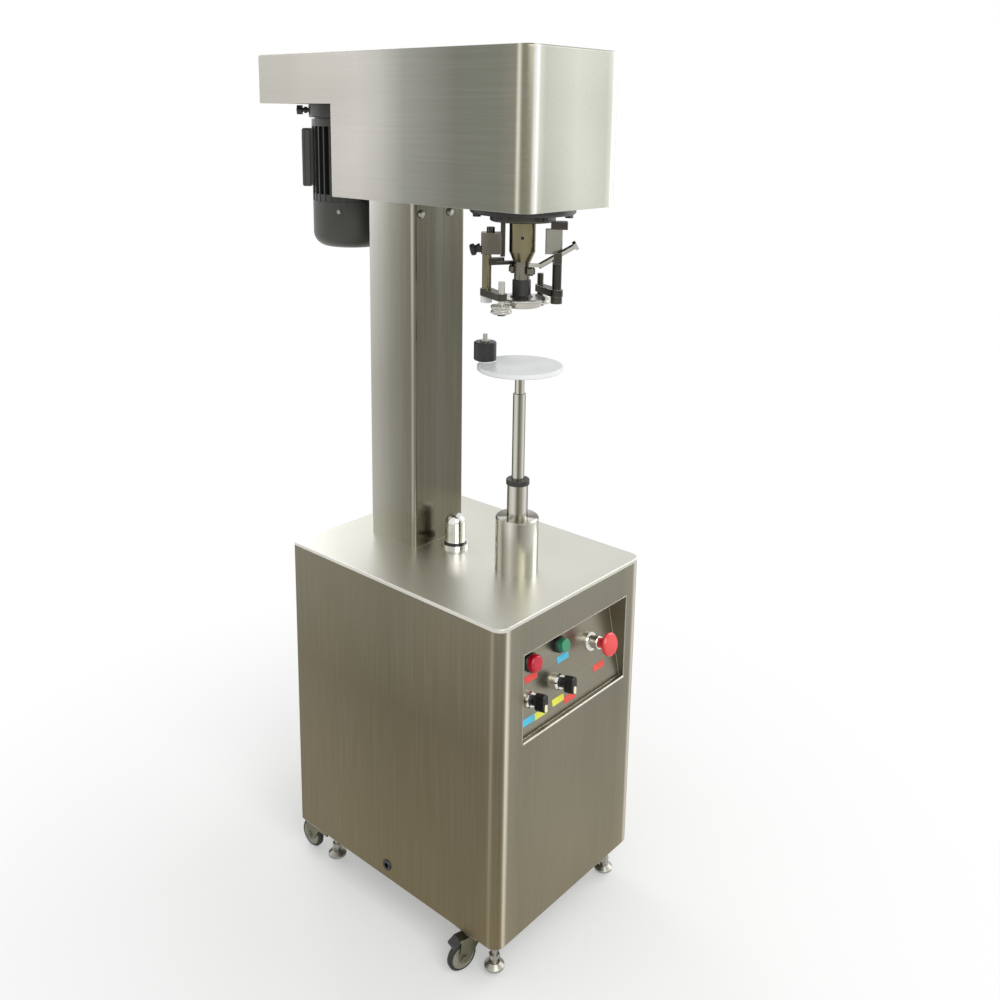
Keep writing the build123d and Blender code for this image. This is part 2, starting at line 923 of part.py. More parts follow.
def wheel(name):
    x, y = caster_places()[name]
    half = wheel_width / 2
    rim = wheel_radius - tyre_depth
    profile = [
        (wheel_bore_radius, -half),
        (hub_wall_radius, -half),
        (hub_wall_radius + edge_break, -half + web_depth),
        (rim - 2 * edge_break, -half + web_depth),
        (rim, -half + edge_break),
        (wheel_radius - tyre_bevel, -half + edge_break),
        (wheel_radius, -half + tyre_shoulder),
        (wheel_radius, half - tyre_shoulder),
        (wheel_radius - tyre_bevel, half - edge_break),
        (rim, half - edge_break),
        (rim - 2 * edge_break, half - web_depth),
        (hub_wall_radius + edge_break, half - web_depth),
        (hub_wall_radius, half),
        (wheel_bore_radius, half),
    ]
    rolling = Pos(caster_trail, 0, wheel_radius) * Rot(90, 0, 0) * revolved(profile)
    return Pos(x, y, 0) * Rot(0, 0, rest_headings[name]) * rolling


def levelling_foot(name):
    x, y = foot_places()[name]
    top = foot_clearance + foot_pad_height
    nut_bottom = top + foot_nut_height
    profile = [
        (0, foot_clearance),
        (foot_pad_radius, foot_clearance),
        (foot_pad_radius, foot_clearance + foot_rim_height),
        (foot_stud_radius + foot_socket_rim, top),
        (foot_stud_radius, top),
        (foot_stud_radius, foot_stud_top),
        (0, foot_stud_top),
    ]
    foot = revolved(profile, x, y)
    foot += Pos(x, y, nut_bottom) * extrude(RegularPolygon(foot_nut_radius, 6), foot_nut_height)
    return foot


# Column, head plate and hood

def column_bolt_places():
    half = column_bolt_spacing / 2
    middle = (column_front + column_rear) / 2
    return [(x * half, middle + y * half) for x in (-1, 1) for y in (-1, 1)]


def column_section(inset):
    middle = (column_front + column_rear) / 2
    corner = max(column_corner_radius - inset, edge_break)
    return Pos(0, middle) * RectangleRounded(column_width - 2 * inset, column_depth - 2 * inset, corner)


def column():
    height = head_plate_bottom - table_height
    tube = extrude(column_section(0) - column_section(column_wall), height)
    plate = extrude(column_section(column_wall / 2), column_plate_thickness)
    tube += plate + Pos(0, 0, height - column_plate_thickness) * plate
    tube = Pos(0, 0, table_height) * tube
    for x, y in column_bolt_places():
        hole_top = head_plate_bottom + edge_break
        tube -= cylinder(column_bolt_radius, table_height - edge_break, hole_top, x, y)
    for x in front_bolt_places:
        bore = Cylinder(front_bolt_radius + seat_gap, 4 * column_wall)
        tube -= Pos(x, column_front, front_bolt_height) * Rot(90, 0, 0) * bore
    return tube


def head_plate():
    edge = sheet + seat_gap
    plate = Pos(0, 0, head_plate_bottom) * extrude(
        front_rounded(hood_width - 2 * edge, hood_front + edge, hood_rear - edge, hood_corner_radius - edge),
        head_plate_thickness,
    )
    spindle_hole = bearing_inner_radius + clearance_hole
    plate -= cylinder(spindle_hole, head_plate_bottom, head_plate_top, 0, spindle_y)
    plate -= cylinder(motor_shaft_radius + housing_bore_gap, head_plate_bottom, head_plate_top, 0, motor_y)
    for x, y in column_bolt_places():
        plate -= cylinder(column_bolt_radius + seat_gap, head_plate_bottom, head_plate_top, x, y)
    for x, y in bolt_circle(motor_bolt_circle, 4, 45, motor_y):
        plate -= cylinder(motor_bolt_radius + seat_gap, head_plate_bottom, head_plate_top, x, y)
    return plate


def hood_body(inset):
    """Solid L-shaped block of the hood, inset by the sheet for its inside."""
    width = hood_width - 2 * inset
    front = hood_front + inset
    tall_rear = hood_step - inset
    corner = hood_corner_radius - inset
    tall = extrude(front_rounded(width, front, tall_rear, corner), hood_top - hood_bottom - inset)
    long_rear = hood_rear - inset
    long_height = hood_top - hood_rear_bottom - 2 * inset
    top = extrude(front_rounded(width, front, long_rear, corner), long_height)
    return Pos(0, 0, hood_bottom) * tall + Pos(0, 0, hood_rear_bottom + inset) * top


def hood():
    shell = hood_body(0)
    top_edges = shell.edges().group_by(Axis.Z)[-1]
    shell = fillet(top_edges, hood_edge_radius) - hood_body(sheet)
    reach = motor_flange_radius + motor_mouth_gap
    rear_mouth = block(
        (-reach, reach),
        (motor_y - reach, motor_y + reach),
        (hood_rear_bottom - edge_break, hood_rear_bottom + sheet),
    )
    return shell - rear_mouth


def hood_cover():
    edge = sheet + seat_gap
    cover = Pos(0, 0, hood_bottom) * extrude(
        front_rounded(hood_width - 2 * edge, hood_front + edge, hood_step - edge, hood_corner_radius - edge),
        sheet,
    )
    cover -= cylinder(cover_hole_radius, hood_bottom, hood_bottom + sheet, 0, spindle_y)
    middle = (column_front + column_rear) / 2
    passage = Pos(0, middle, hood_bottom) * extrude(
        RectangleRounded(
            column_width + clearance_hole, column_depth + clearance_hole, column_corner_radius
        ),
        sheet,
    )
    cover -= passage
    for x, y in bolt_circle(cover_bolt_circle, cover_bolt_count, head_turn, spindle_y):
        cover -= cylinder(cover_bolt_radius + seat_gap, hood_bottom, hood_bottom + sheet, x, y)
    return cover


def bolt_circle(radius, count, start, middle=0):
    angles = [math.radians(start + index * 360 / count) for index in range(count)]
    return [(radius * math.cos(angle), middle + radius * math.sin(angle)) for angle in angles]


def frame_bolts():
    bolts = []
    cover_head = cover_bottom
    for x, y in bolt_circle(cover_bolt_circle, cover_bolt_count, head_turn, spindle_y):
        length = bearing_cover_thickness + sheet + housing_flange_thickness
        head = (cover_bolt_head_radius, cover_bolt_head_height)
        bolts.append(hexagon_bolt(cover_bolt_radius, cover_head, length, *head, x, y))
    shank = column_bolt_radius - running_fit
    head = (column_bolt_head_radius, column_bolt_head_height)
    for x, y in column_bolt_places():
        foot_length = table_thickness + column_plate_thickness
        bolts.append(hexagon_bolt(shank, shell_top, foot_length, *head, x, y))
        cap_length = head_plate_thickness + column_plate_thickness
        cap = Rot(180, 0, 0) * hexagon_bolt(shank, 0, cap_length, *head, 0, 0)
        bolts.append(Pos(x, y, head_plate_top) * cap)
    for x, y in bolt_circle(motor_bolt_circle, 4, 45, motor_y):
        length = head_plate_thickness + motor_flange_thickness / 2
        head = (motor_bolt_head_radius, motor_bolt_head_height)
        cap = Rot(180, 0, 0) * hexagon_bolt(motor_bolt_radius, 0, length, *head, 0, 0)
        bolts.append(Pos(x, y, head_plate_top) * cap)
    head_radius = front_bolt_radius + front_bolt_head_rim
    for x in front_bolt_places:
        screw = revolved([
            (0, -2 * column_wall),
            (front_bolt_radius, -2 * column_wall),
            (front_bolt_radius, 0),
            (head_radius, 0),
            (head_radius - edge_break, front_bolt_head_height - front_bolt_head_bevel),
            (front_bolt_radius, front_bolt_head_height),
            (0, front_bolt_head_height),
        ])
        bolts.append(Pos(x, column_front, front_bolt_height) * Rot(90, 0, 0) * screw)
    return bolts


def bearing_housing():
    flange_bottom = hood_bottom + sheet
    lower_seat = flange_bottom + bearing_lip
    upper_seat = head_plate_bottom - bearing_lip - bearing_width
    profile = [
        (bearing_inner_radius + housing_bore_gap, flange_bottom),
        (housing_flange_radius, flange_bottom),
        (housing_flange_radius, flange_bottom + housing_flange_thickness),
        (housing_radius + housing_step, flange_bottom + housing_flange_thickness),
        (housing_radius, flange_bottom + housing_flange_thickness + housing_step_height),
        (housing_radius, head_plate_bottom),
        (bearing_inner_radius + housing_bore_gap, head_plate_bottom),
        (bearing_inner_radius + housing_bore_gap, upper_seat + bearing_width),
        (bearing_outer_radius, upper_seat + bearing_width),
        (bearing_outer_radius, upper_seat),
        (bearing_shoulder_radius, upper_seat),
        (bearing_shoulder_radius, lower_seat + bearing_width),
        (bearing_outer_radius, lower_seat + bearing_width),
        (bearing_outer_radius, lower_seat),
        (bearing_inner_radius + housing_bore_gap, lower_seat),
    ]
    housing = revolved(profile, 0, spindle_y)
    for x, y in bolt_circle(cover_bolt_circle, cover_bolt_count, head_turn, spindle_y):
        flange_top = flange_bottom + housing_flange_thickness
        housing -= cylinder(cover_bolt_radius + running_fit, flange_bottom, flange_top, x, y)
    return housing


def spindle_bearings():
    lower_seat = hood_bottom + sheet + bearing_lip
    upper_seat = head_plate_bottom - bearing_lip - bearing_width
    race = (bearing_outer_radius - bearing_inner_radius) / 3
    bearings = []
    for seat in (lower_seat, upper_seat):
        top = seat + bearing_width
        profile = [
            (bearing_inner_radius + running_fit, seat),
            (bearing_inner_radius + race, seat),
            (bearing_inner_radius + race, seat + race_recess),
            (bearing_outer_radius - race, seat + race_recess),
            (bearing_outer_radius - race, seat),
            (bearing_outer_radius, seat),
            (bearing_outer_radius, top),
            (bearing_outer_radius - race, top),
            (bearing_outer_radius - race, top - race_recess),
            (bearing_inner_radius + race, top - race_recess),
            (bearing_inner_radius + race, top),
            (bearing_inner_radius + running_fit, top),
        ]
        bearings.append(revolved(profile, 0, spindle_y))
    return bearings


def bearing_cover():
    top = hood_bottom
    profile = [
        (bearing_inner_radius + turret_gap, cover_bottom),
        (bearing_cover_radius - cover_bevel, cover_bottom),
        (bearing_cover_radius, cover_bottom + cover_bevel),
        (bearing_cover_radius, top),
        (bearing_inner_radius + turret_gap, top),
    ]
    cover = revolved(profile, 0, spindle_y)
    for x, y in bolt_circle(cover_bolt_circle, cover_bolt_count, head_turn, spindle_y):
        cover -= cylinder(cover_bolt_radius + running_fit, cover_bottom, top, x, y)
    return cover


# Motor and belt drive

def motor_body():
    """Finned stator between its end shields, with the mounting flange on top."""
    fin_ring = Pos(0, motor_y, motor_body_bottom) * extrude(Circle(motor_radius), motor_body_height)
    core = cylinder(motor_core_radius, motor_body_bottom, motor_body_top, 0, motor_y)
    fins = []
    for x, y in bolt_circle(motor_radius, motor_fin_count, 180 / motor_fin_count, 0):
        angle = math.degrees(math.atan2(y, x))
        fin = Rot(0, 0, angle) * Box(
            2 * motor_radius, motor_fin_width, motor_body_height, align=(Align.MIN, Align.CENTER, Align.MIN)
        )
        fins.append(Pos(0, motor_y, motor_body_bottom) * fin)
    ribs = fin_ring & (Part() + fins)
    body = core + ribs
    shield = cylinder(motor_radius, motor_body_top - shield_height, motor_body_top, 0, motor_y)
    body += shield
    lower_shield_top = motor_body_bottom + shield_height
    body += cylinder(motor_radius - edge_break, motor_body_bottom, lower_shield_top, 0, motor_y)
    flange_bottom = head_plate_bottom - motor_flange_thickness
    flange = cylinder(motor_flange_radius, flange_bottom, head_plate_bottom, 0, motor_y)
    body += chamfer(flange.edges().group_by(Axis.Z)[0], motor_flange_bevel)
    body += cylinder(motor_radius - motor_spigot_inset, motor_body_top, head_plate_bottom, 0, motor_y)
    body += terminal_seat()
    body -= cylinder(motor_shaft_radius + running_fit, lower_shield_top, head_plate_bottom, 0, motor_y)
    for x, y in bolt_circle(motor_bolt_circle, 4, 45, motor_y):
        depth = motor_flange_thickness / 2
        body -= cylinder(motor_bolt_radius + running_fit, head_plate_bottom - depth, head_plate_bottom, x, y)
    return body


def turned_on_motor(shape):
    """A shape drawn on the motor's left side, turned round its axis."""
    return Pos(0, motor_y, 0) * Rot(0, 0, terminal_turn) * Pos(0, -motor_y, 0) * shape


def terminal_seat():
    seat = block(
        (-motor_radius - terminal_seat_rise, -motor_core_radius + terminal_seat_root),
        (terminal_box_front + terminal_seat_inset, terminal_box_rear - terminal_seat_inset),
        (terminal_box_bottom + terminal_seat_inset, terminal_box_top - terminal_seat_inset),
    )
    return turned_on_motor(seat)


def motor_fan_cover():
    outer = cylinder(motor_radius, fan_cover_bottom, motor_body_bottom, 0, motor_y)
    outer = fillet(outer.edges().group_by(Axis.Z)[0], fan_cover_corner)
    inside_bottom = fan_cover_bottom + fan_cover_wall
    inside = cylinder(motor_radius - fan_cover_wall, inside_bottom, motor_body_bottom, 0, motor_y)
    inside = fillet(inside.edges().group_by(Axis.Z)[0], fan_cover_corner - fan_cover_wall)
    cover = outer - inside
    slot_span = 2 * (motor_radius - fan_cover_corner - fan_slot_margin)
    pitch = slot_span / fan_slot_count
    for index in range(fan_slot_count):
        x = (index - (fan_slot_count - 1) / 2) * pitch
        length = 2 * math.sqrt((slot_span / 2) ** 2 - x ** 2)
        slot = SlotOverall(length, pitch / 2, rotation=90)
        opening = extrude(slot, fan_cover_wall + 2 * edge_break)
        cover -= Pos(x, motor_y, fan_cover_bottom - edge_break) * opening
    return cover


def terminal_box():
    inner = -motor_radius - terminal_seat_rise
    depth = terminal_box_side + inner
    box = block(
        (-terminal_box_side, inner),
        (terminal_box_front, terminal_box_rear),
        (terminal_box_bottom, terminal_box_top),
    )
    box = fillet(box.edges().filter_by(Axis.X), terminal_box_corner)
    lid_edges = box.edges().group_by(Axis.X)[0]
    box = chamfer(lid_edges, terminal_lid_bevel)
    joint_line = block(
        (-terminal_box_side + depth / 3, -terminal_box_side + depth / 3 + edge_break),
        (terminal_box_front - edge_break, terminal_box_rear + edge_break),
        (terminal_box_bottom - edge_break, terminal_box_top + edge_break),
    )
    waist = block(
        (-terminal_box_side, inner),
        (terminal_box_front + edge_break, terminal_box_rear - edge_break),
        (terminal_box_bottom + edge_break, terminal_box_top - edge_break),
    )
    return turned_on_motor(box - (joint_line - waist))


def motor_shaft():
    bottom = motor_body_bottom + shield_height + edge_break
    top = pulley_middle + pulley_width / 2 + pulley_end_gap
    return revolved([
        (0, bottom),
        (motor_shaft_radius, bottom),
        (motor_shaft_radius, top - edge_break),
        (motor_shaft_radius - edge_break, top),
        (0, top),
    ], 0, motor_y)


def pulley(radius, bore, y):
    """V-belt pulley with one groove, a recess in each face and its bore."""
    half = pulley_width / 2
    groove_bottom = radius - groove_depth
    mouth = belt_width / 2 + belt_taper
    root = belt_width / 2 - belt_taper
    profile = [
        (bore, pulley_middle - half),
        (radius, pulley_middle - half),
        (radius, pulley_middle - mouth),
        (groove_bottom, pulley_middle - root),
        (groove_bottom, pulley_middle + root),
        (radius, pulley_middle + mouth),
        (radius, pulley_middle + half),
        (bore, pulley_middle + half),
    ]
    return revolved(profile, 0, y)


def belt_outline(first_radius, second_radius):
    """Area inside a taut belt round two circles, one at the spindle and one at the motor."""
    circles = (Pos(0, spindle_y) * Circle(first_radius)).edges()
    circles += (Pos(0, motor_y) * Circle(second_radius)).edges()
    return make_hull(circles)


def drive_belt():
    root = groove_depth - belt_gap
    first = spindle_pulley_radius - root
    second = motor_pulley_radius - root
    loop = belt_outline(first + belt_thickness, second + belt_thickness) - belt_outline(first, second)
    width = 2 * (belt_width / 2 - belt_taper - belt_gap)
    return Pos(0, 0, pulley_middle - width / 2) * extrude(loop, width)


def spindle_pulley():
    wheel_body = pulley(spindle_pulley_radius, pulley_seat_radius + running_fit, spindle_y)
    for side in (-1, 1):
        rim = spindle_pulley_radius - groove_depth - pulley_rim_wall
        recess = cylinder(rim, 0, pulley_recess, 0, spindle_y)
        recess -= cylinder(pulley_seat_radius + pulley_hub_wall, 0, pulley_recess, 0, spindle_y)
        level = pulley_middle + side * pulley_width / 2 - (pulley_recess if side > 0 else 0)
        wheel_body -= Pos(0, 0, level) * recess
    return wheel_body


def motor_pulley():
    return pulley(motor_pulley_radius, motor_shaft_radius + running_fit, motor_y)


# Seaming head. These pieces are drawn with X along the line of the two arm posts, then turned.

def in_head(shape):
    return Pos(0, spindle_y, 0) * Rot(0, 0, head_turn) * shape


def opposite(shape):
    return Rot(0, 0, 180) * shape


def shaft_anchor():
    """Bridge over the spindle pulley that holds the fixed shaft by its upper end."""
    leg_x = spindle_pulley_radius + anchor_clearance
    bridge = block((-leg_x - anchor_width, leg_x + anchor_width), (-anchor_width, anchor_width),
                   (anchor_bottom, anchor_top))
    for hand in (-1, 1):
        near = hand * leg_x
        far = hand * (leg_x + anchor_leg)
        bridge += block((min(near, far), max(near, far)), (-anchor_width, anchor_width),
                        (head_plate_top, anchor_bottom))
        foot_far = hand * (leg_x + anchor_width)
        bridge += block((min(near, foot_far), max(near, foot_far)), (-anchor_width, anchor_width),
                        (head_plate_top, head_plate_top + anchor_leg))
    bridge -= cylinder(shaft_thread_radius + running_fit, anchor_bottom, anchor_top)
    return Pos(0, spindle_y, 0) * bridge


def centre_shaft():
    shaft = revolved([
        (0, chuck_bottom + chuck_floor),
        (chuck_seat_radius, chuck_bottom + chuck_floor),
        (chuck_seat_radius, hub_top),
        (shaft_radius, hub_top),
        (shaft_radius, anchor_bottom),
        (shaft_thread_radius, anchor_bottom),
        (shaft_thread_radius, shaft_top),
        (0, shaft_top),
    ])
    nut = Pos(0, 0, anchor_top) * extrude(RegularPolygon(shaft_nut_radius, 6), shaft_nut_height)
    return in_head(shaft + nut)


def seaming_chuck():
    chuck = revolved([
        (0, chuck_bottom + chuck_recess),
        (chuck_nose_radius - chuck_rim, chuck_bottom + chuck_recess),
        (chuck_nose_radius - chuck_rim, chuck_bottom),
        (chuck_nose_radius - edge_break, chuck_bottom),
        (chuck_nose_radius, chuck_bottom + edge_break),
        (chuck_nose_radius, chuck_bottom + chuck_nose_height),
        (chuck_flange_radius - edge_break, chuck_bottom + chuck_nose_height),
        (chuck_flange_radius, chuck_bottom + chuck_nose_height + edge_break),
        (chuck_flange_radius, chuck_top - 2 * edge_break),
        (chuck_flange_radius - 2 * edge_break, chuck_top),
        (hub_radius + hub_flare, chuck_top),
        (hub_radius, chuck_top + hub_flare),
        (hub_radius, hub_top - edge_break),
        (hub_radius - edge_break, hub_top),
        (0, hub_top),
    ])
    bore_bottom = chuck_bottom + chuck_floor - edge_break
    return in_head(chuck - cylinder(chuck_seat_radius + running_fit, bore_bottom, hub_top))


def turret_spindle():
    bore = shaft_radius + running_fit
    return in_head(revolved([
        (bore, carrier_bottom),
        (bearing_inner_radius, carrier_bottom),
        (bearing_inner_radius, pulley_middle - pulley_width / 2),
        (pulley_seat_radius, pulley_middle - pulley_width / 2),
        (pulley_seat_radius, spindle_top),
        (bore, spindle_top),
    ]))


def carrier_plate():
    plate = revolved([
        (bearing_inner_radius + running_fit, carrier_bottom),
        (carrier_radius - 2 * edge_break, carrier_bottom),
        (carrier_radius, carrier_bottom + 2 * edge_break),
        (carrier_radius, carrier_top - edge_break),
        (carrier_radius - edge_break, carrier_top),
        (bearing_inner_radius + running_fit, carrier_top),
    ])
    for x, y in bolt_circle(carrier_bolt_circle, 4, 45):
        plate -= cylinder(carrier_bolt_radius, carrier_bottom, carrier_bottom + carrier_bolt_depth, x, y)
    return in_head(plate)


def pivot_pin():
    low = arm_link_bottom - seat_gap
    pin = cylinder(arm_pin_radius, low, arm_barrel_top + 2 * edge_break, -arm_post_reach)
    return pin + cylinder(pin_cap_radius, low - pin_cap_height, low, -arm_post_reach)


def first_hanger():
    """Leg under the carrier with a split clamp block that grips the pivot pin."""
    leg = block(
        (-hanger_leg_outer, -hanger_leg_outer + hanger_leg_thickness),
        (-hanger_half_width + edge_break, hanger_half_width - edge_break),
        (hanger_leg_bottom, carrier_bottom),
    )
    clamp = block(
        (-arm_post_reach - arm_eye_radius + edge_break, -hanger_leg_outer + edge_break),
        (-hanger_half_width, hanger_half_width),
        (clamp_bottom, clamp_top),
    )
    clamp = fillet(clamp.edges().filter_by(Axis.Z).group_by(Axis.X)[0], clamp_corner)
    split = block(
        (-arm_post_reach - arm_eye_radius - edge_break, -arm_post_reach),
        (-clamp_split / 2, clamp_split / 2),
        (clamp_bottom, clamp_top),
    )
    hanger = leg + clamp - split + pivot_pin()
    hanger += cylinder(arm_pin_radius, clamp_bottom, clamp_top, -arm_post_reach)
    screw_head = extrude(RegularPolygon(clamp_screw_head_radius, 6), clamp_screw_head_height)
    screw_head = Pos(-arm_post_reach + clamp_screw_offset, 0, clamp_top) * screw_head
    return hanger + screw_head + adjusting_knob()


def adjusting_knob():
    """Fluted knob with a waist, on a stem that leans down and away from the clamp block."""
    stem = cylinder(knob_stem_radius, -arm_eye_radius, knob_gap)
    knob = revolved([
        (0, knob_gap),
        (knob_radius - knob_bevel, knob_gap),
        (knob_radius - knob_bevel, knob_gap + knob_foot_height),
        (knob_waist_radius, knob_gap + knob_waist_bottom),
        (knob_waist_radius, knob_gap + knob_waist_top),
        (knob_radius, knob_gap + knob_grip_bottom),
        (knob_radius, knob_gap + knob_height - knob_bevel),
        (knob_radius - knob_bevel, knob_gap + knob_height),
        (0, knob_gap + knob_height),
    ])
    flute_bottom = knob_gap + knob_waist_top
    flute_top = knob_gap + knob_height + edge_break
    flute = cylinder(flute_radius, flute_bottom, flute_top, knob_radius + flute_offset)
    for index in range(knob_flutes):
        knob -= Rot(0, 0, index * 360 / knob_flutes) * flute
    place = Pos(-arm_post_reach - arm_eye_radius + edge_break, 0, clamp_bottom + knob_radius)
    return place * Rot(0, -90 - knob_tilt, 0) * (stem + knob)


def second_hanger():
    """Stepped bracket under the carrier, drawn on the first arm's side and turned round later."""
    top_block = block(
        (-hanger_top_outer, -hanger_top_inner),
        (-hanger_half_width, hanger_half_width),
        (carrier_bottom - hanger_top_height, carrier_bottom),
    )
    bracket = block(
        (-arm_post_reach - arm_barrel_radius, -hanger_bracket_inner),
        (-bracket_half_width, bracket_half_width),
        (arm_barrel_top + bracket_gap, carrier_bottom - hanger_top_height),
    )
    bracket = fillet(bracket.edges().filter_by(Axis.Z), bracket_corner)
    pin_top = arm_barrel_top + bracket_gap + lug_rise
    pin = pivot_pin() + cylinder(arm_pin_radius, arm_barrel_top, pin_top, -arm_post_reach)
    return top_block + bracket + pin


def arm_hangers():
    return [in_head(first_hanger()), in_head(opposite(second_hanger()))]


def roller_place():
    return (-arm_post_reach + roller_out[0], roller_out[1])


def follower_place():
    reach = shaft_radius + belt_gap + follower_radius
    angle = math.radians(follower_angle)
    return (reach * math.cos(angle), reach * math.sin(angle))


def link(start, end, start_radius, end_radius, bottom, top):
    """Flat link with round ends of two radii, hulled between two points."""
    ends = (Pos(*start) * Circle(start_radius)).edges() + (Pos(*end) * Circle(end_radius)).edges()
    return Pos(0, 0, bottom) * extrude(make_hull(ends), top - bottom)


def arm_body():
    """Barrel on the pivot pin, lower link to the seaming roller, and both rollers' pins."""
    pivot = (-arm_post_reach, 0)
    link_top = arm_link_bottom + arm_link_thickness
    body = cylinder(arm_barrel_radius, arm_link_bottom, arm_barrel_top, *pivot)
    body += link(pivot, roller_place(), arm_eye_radius, roller_eye_radius, arm_link_bottom, link_top)
    body += cylinder(roller_stem_radius, link_top, link_top + roller_nut_height, *roller_place())
    body += cylinder(roller_stem_radius, roller_top + seat_gap, arm_link_bottom, *roller_place())
    body += cylinder(roller_pin_radius, roller_bottom - seat_gap, roller_top + edge_break, *roller_place())
    body += cylinder(
        roller_pin_radius + pin_head_rim,
        roller_bottom - seat_gap - pin_head_height,
        roller_bottom - seat_gap,
        *roller_place()
    )
    tongue_bottom = follower_bottom + follower_height + edge_break
    body += cylinder(follower_pin_radius, follower_bottom - seat_gap, tongue_bottom, *follower_place())
    body += cylinder(
        follower_pin_radius + follower_head_rim,
        follower_bottom - seat_gap - follower_head_height,
        follower_bottom - seat_gap,
        *follower_place()
    )
    return body


def bored(body):
    return body - cylinder(arm_pin_radius + running_fit, chuck_bottom, carrier_bottom, -arm_post_reach)


def first_arm():
    pivot = (-arm_post_reach, 0)
    bottom = follower_bottom + follower_height + edge_break
    tongue_top = bottom + tongue_thickness
    knee = (-arm_post_reach * tongue_share, follower_place()[1] * (1 - tongue_share) * 1.5)
    body = arm_body()
    tongue_root = arm_barrel_radius - edge_break
    body += link(pivot, knee, arm_barrel_radius, knee_radius, bottom, bottom + arm_link_thickness)
    body += link(pivot, follower_place(), tongue_root, follower_eye_radius, bottom, tongue_top)
    return in_head(bored(body))


def second_arm():
    """Like the first, but its upper link is a sloping rod with a hexagon head."""
    bottom = follower_bottom + follower_height + edge_break
    tongue_top = bottom + tongue_thickness
    outer = Vector(-rod_outer_reach, rod_side, rod_outer_height)
    inner = Vector(-rod_inner_reach, rod_side, bottom + edge_break)
    slope = Plane(origin=outer, z_dir=inner - outer)
    length = (inner - outer).length
    body = arm_body()
    body += slope * extrude(Circle(link_rod_radius), length)
    body += slope * extrude(RegularPolygon(rod_head_radius, 6), rod_head_height)
    rod_foot = (-rod_inner_reach - rod_foot_offset, rod_side)
    body += link(rod_foot, follower_place(), link_rod_radius, follower_eye_radius, bottom, tongue_top)
    lug_across = (-arm_post_reach - lug_half_width, -arm_post_reach + lug_half_width)
    lug_side = rod_side + link_rod_radius + lug_wall
    lug_bottom = arm_barrel_top - lug_height
    body += block(lug_across, (0, lug_side), (lug_bottom, arm_barrel_top))
    body += block(
        lug_across, (rod_side - link_rod_radius, lug_side), (lug_bottom, arm_barrel_top + lug_rise)
    )
    return in_head(opposite(bored(body)))


def seaming_roller():
    """Roller with a seam groove in its rim."""
    middle = (roller_bottom + roller_top) / 2
    bore = roller_pin_radius + running_fit
    profile = [
        (bore, roller_bottom),
        (roller_radius - 2 * edge_break, roller_bottom),
        (roller_radius, roller_bottom + edge_round),
        (roller_radius, middle - 2 * edge_round),
        (roller_radius - seam_groove_depth, middle - edge_break),
        (roller_radius - seam_groove_depth, middle + edge_round),
        (roller_radius, middle + 2 * edge_round),
        (roller_radius, roller_top - edge_break),
        (roller_radius - edge_break, roller_top),
        (bore, roller_top),
    ]
    return revolved(profile, *roller_place())


def follower():
    bore = follower_pin_radius + running_fit
    top = follower_bottom + follower_height
    profile = [
        (bore, follower_bottom),
        (follower_radius - edge_break, follower_bottom),
        (follower_radius, follower_bottom + edge_break),
        (follower_radius, top - 2 * edge_round),
        (follower_radius - 2 * edge_break, top),
        (bore, top),
    ]
    return revolved(profile, *follower_place())


def seaming_cone():
    bore = shaft_radius + running_fit
    top = carrier_bottom - cone_stop_gap
    cone = revolved([
        (bore, cone_bottom),
        (shaft_radius + cone_lip, cone_bottom),
        (cone_boss_radius, cone_bottom + cone_height),
        (cone_boss_radius, top - cone_top_bevel),
        (cone_boss_radius - cone_top_bevel, top),
        (bore, top),
    ])
    set_screw = Rot(90, 0, 0) * Cylinder(set_screw_radius, 2 * set_screw_depth)
    set_screw = Pos(0, -cone_boss_radius, set_screw_height) * set_screw
    return in_head(cone - set_screw)


# Lifter and the fittings on the table

def lifter_base():
    top = table_height + lifter_base_height
    stop = sleeve_bottom - belt_gap
    base = revolved([
        (piston_rod_radius + edge_break, table_height),
        (lifter_base_radius, table_height),
        (lifter_base_radius, top - lifter_base_bevel),
        (lifter_base_radius - lifter_base_bevel, top),
        (sleeve_radius + running_fit, top),
        (sleeve_radius + running_fit, stop),
        (piston_rod_radius + edge_break, stop),
    ])
    hole = Rot(0, 90, 0) * Cylinder(base_clamp_radius, base_clamp_depth)
    hole = Rot(0, 0, head_turn) * Pos(lifter_base_radius, 0, base_clamp_height) * hole
    return Pos(0, spindle_y, 0) * (base - hole)


def lift_actuator():
    rod_floor = piston_rod_bottom - rod_end_gap
    body = revolved([
        (0, actuator_bottom),
        (actuator_radius, actuator_bottom),
        (actuator_radius, actuator_bottom + actuator_cap),
        (actuator_radius - actuator_tube_inset, actuator_bottom + actuator_cap),
        (actuator_radius - actuator_tube_inset, shell_top - 2 * actuator_cap),
        (actuator_radius, shell_top - 2 * actuator_cap),
        (actuator_radius, shell_top - actuator_flange),
        (actuator_flange_radius, shell_top - actuator_flange),
        (actuator_flange_radius, shell_top),
        (piston_rod_radius + running_fit, shell_top),
        (piston_rod_radius + running_fit, rod_floor),
        (0, rod_floor),
    ])
    port = Rot(90, 0, 0) * Cylinder(actuator_port_radius, actuator_port_length)
    for z in (actuator_bottom + actuator_cap / 2, shell_top - 3 * actuator_cap / 2):
        body += Pos(0, actuator_radius, z) * port
    return Pos(0, spindle_y, 0) * body


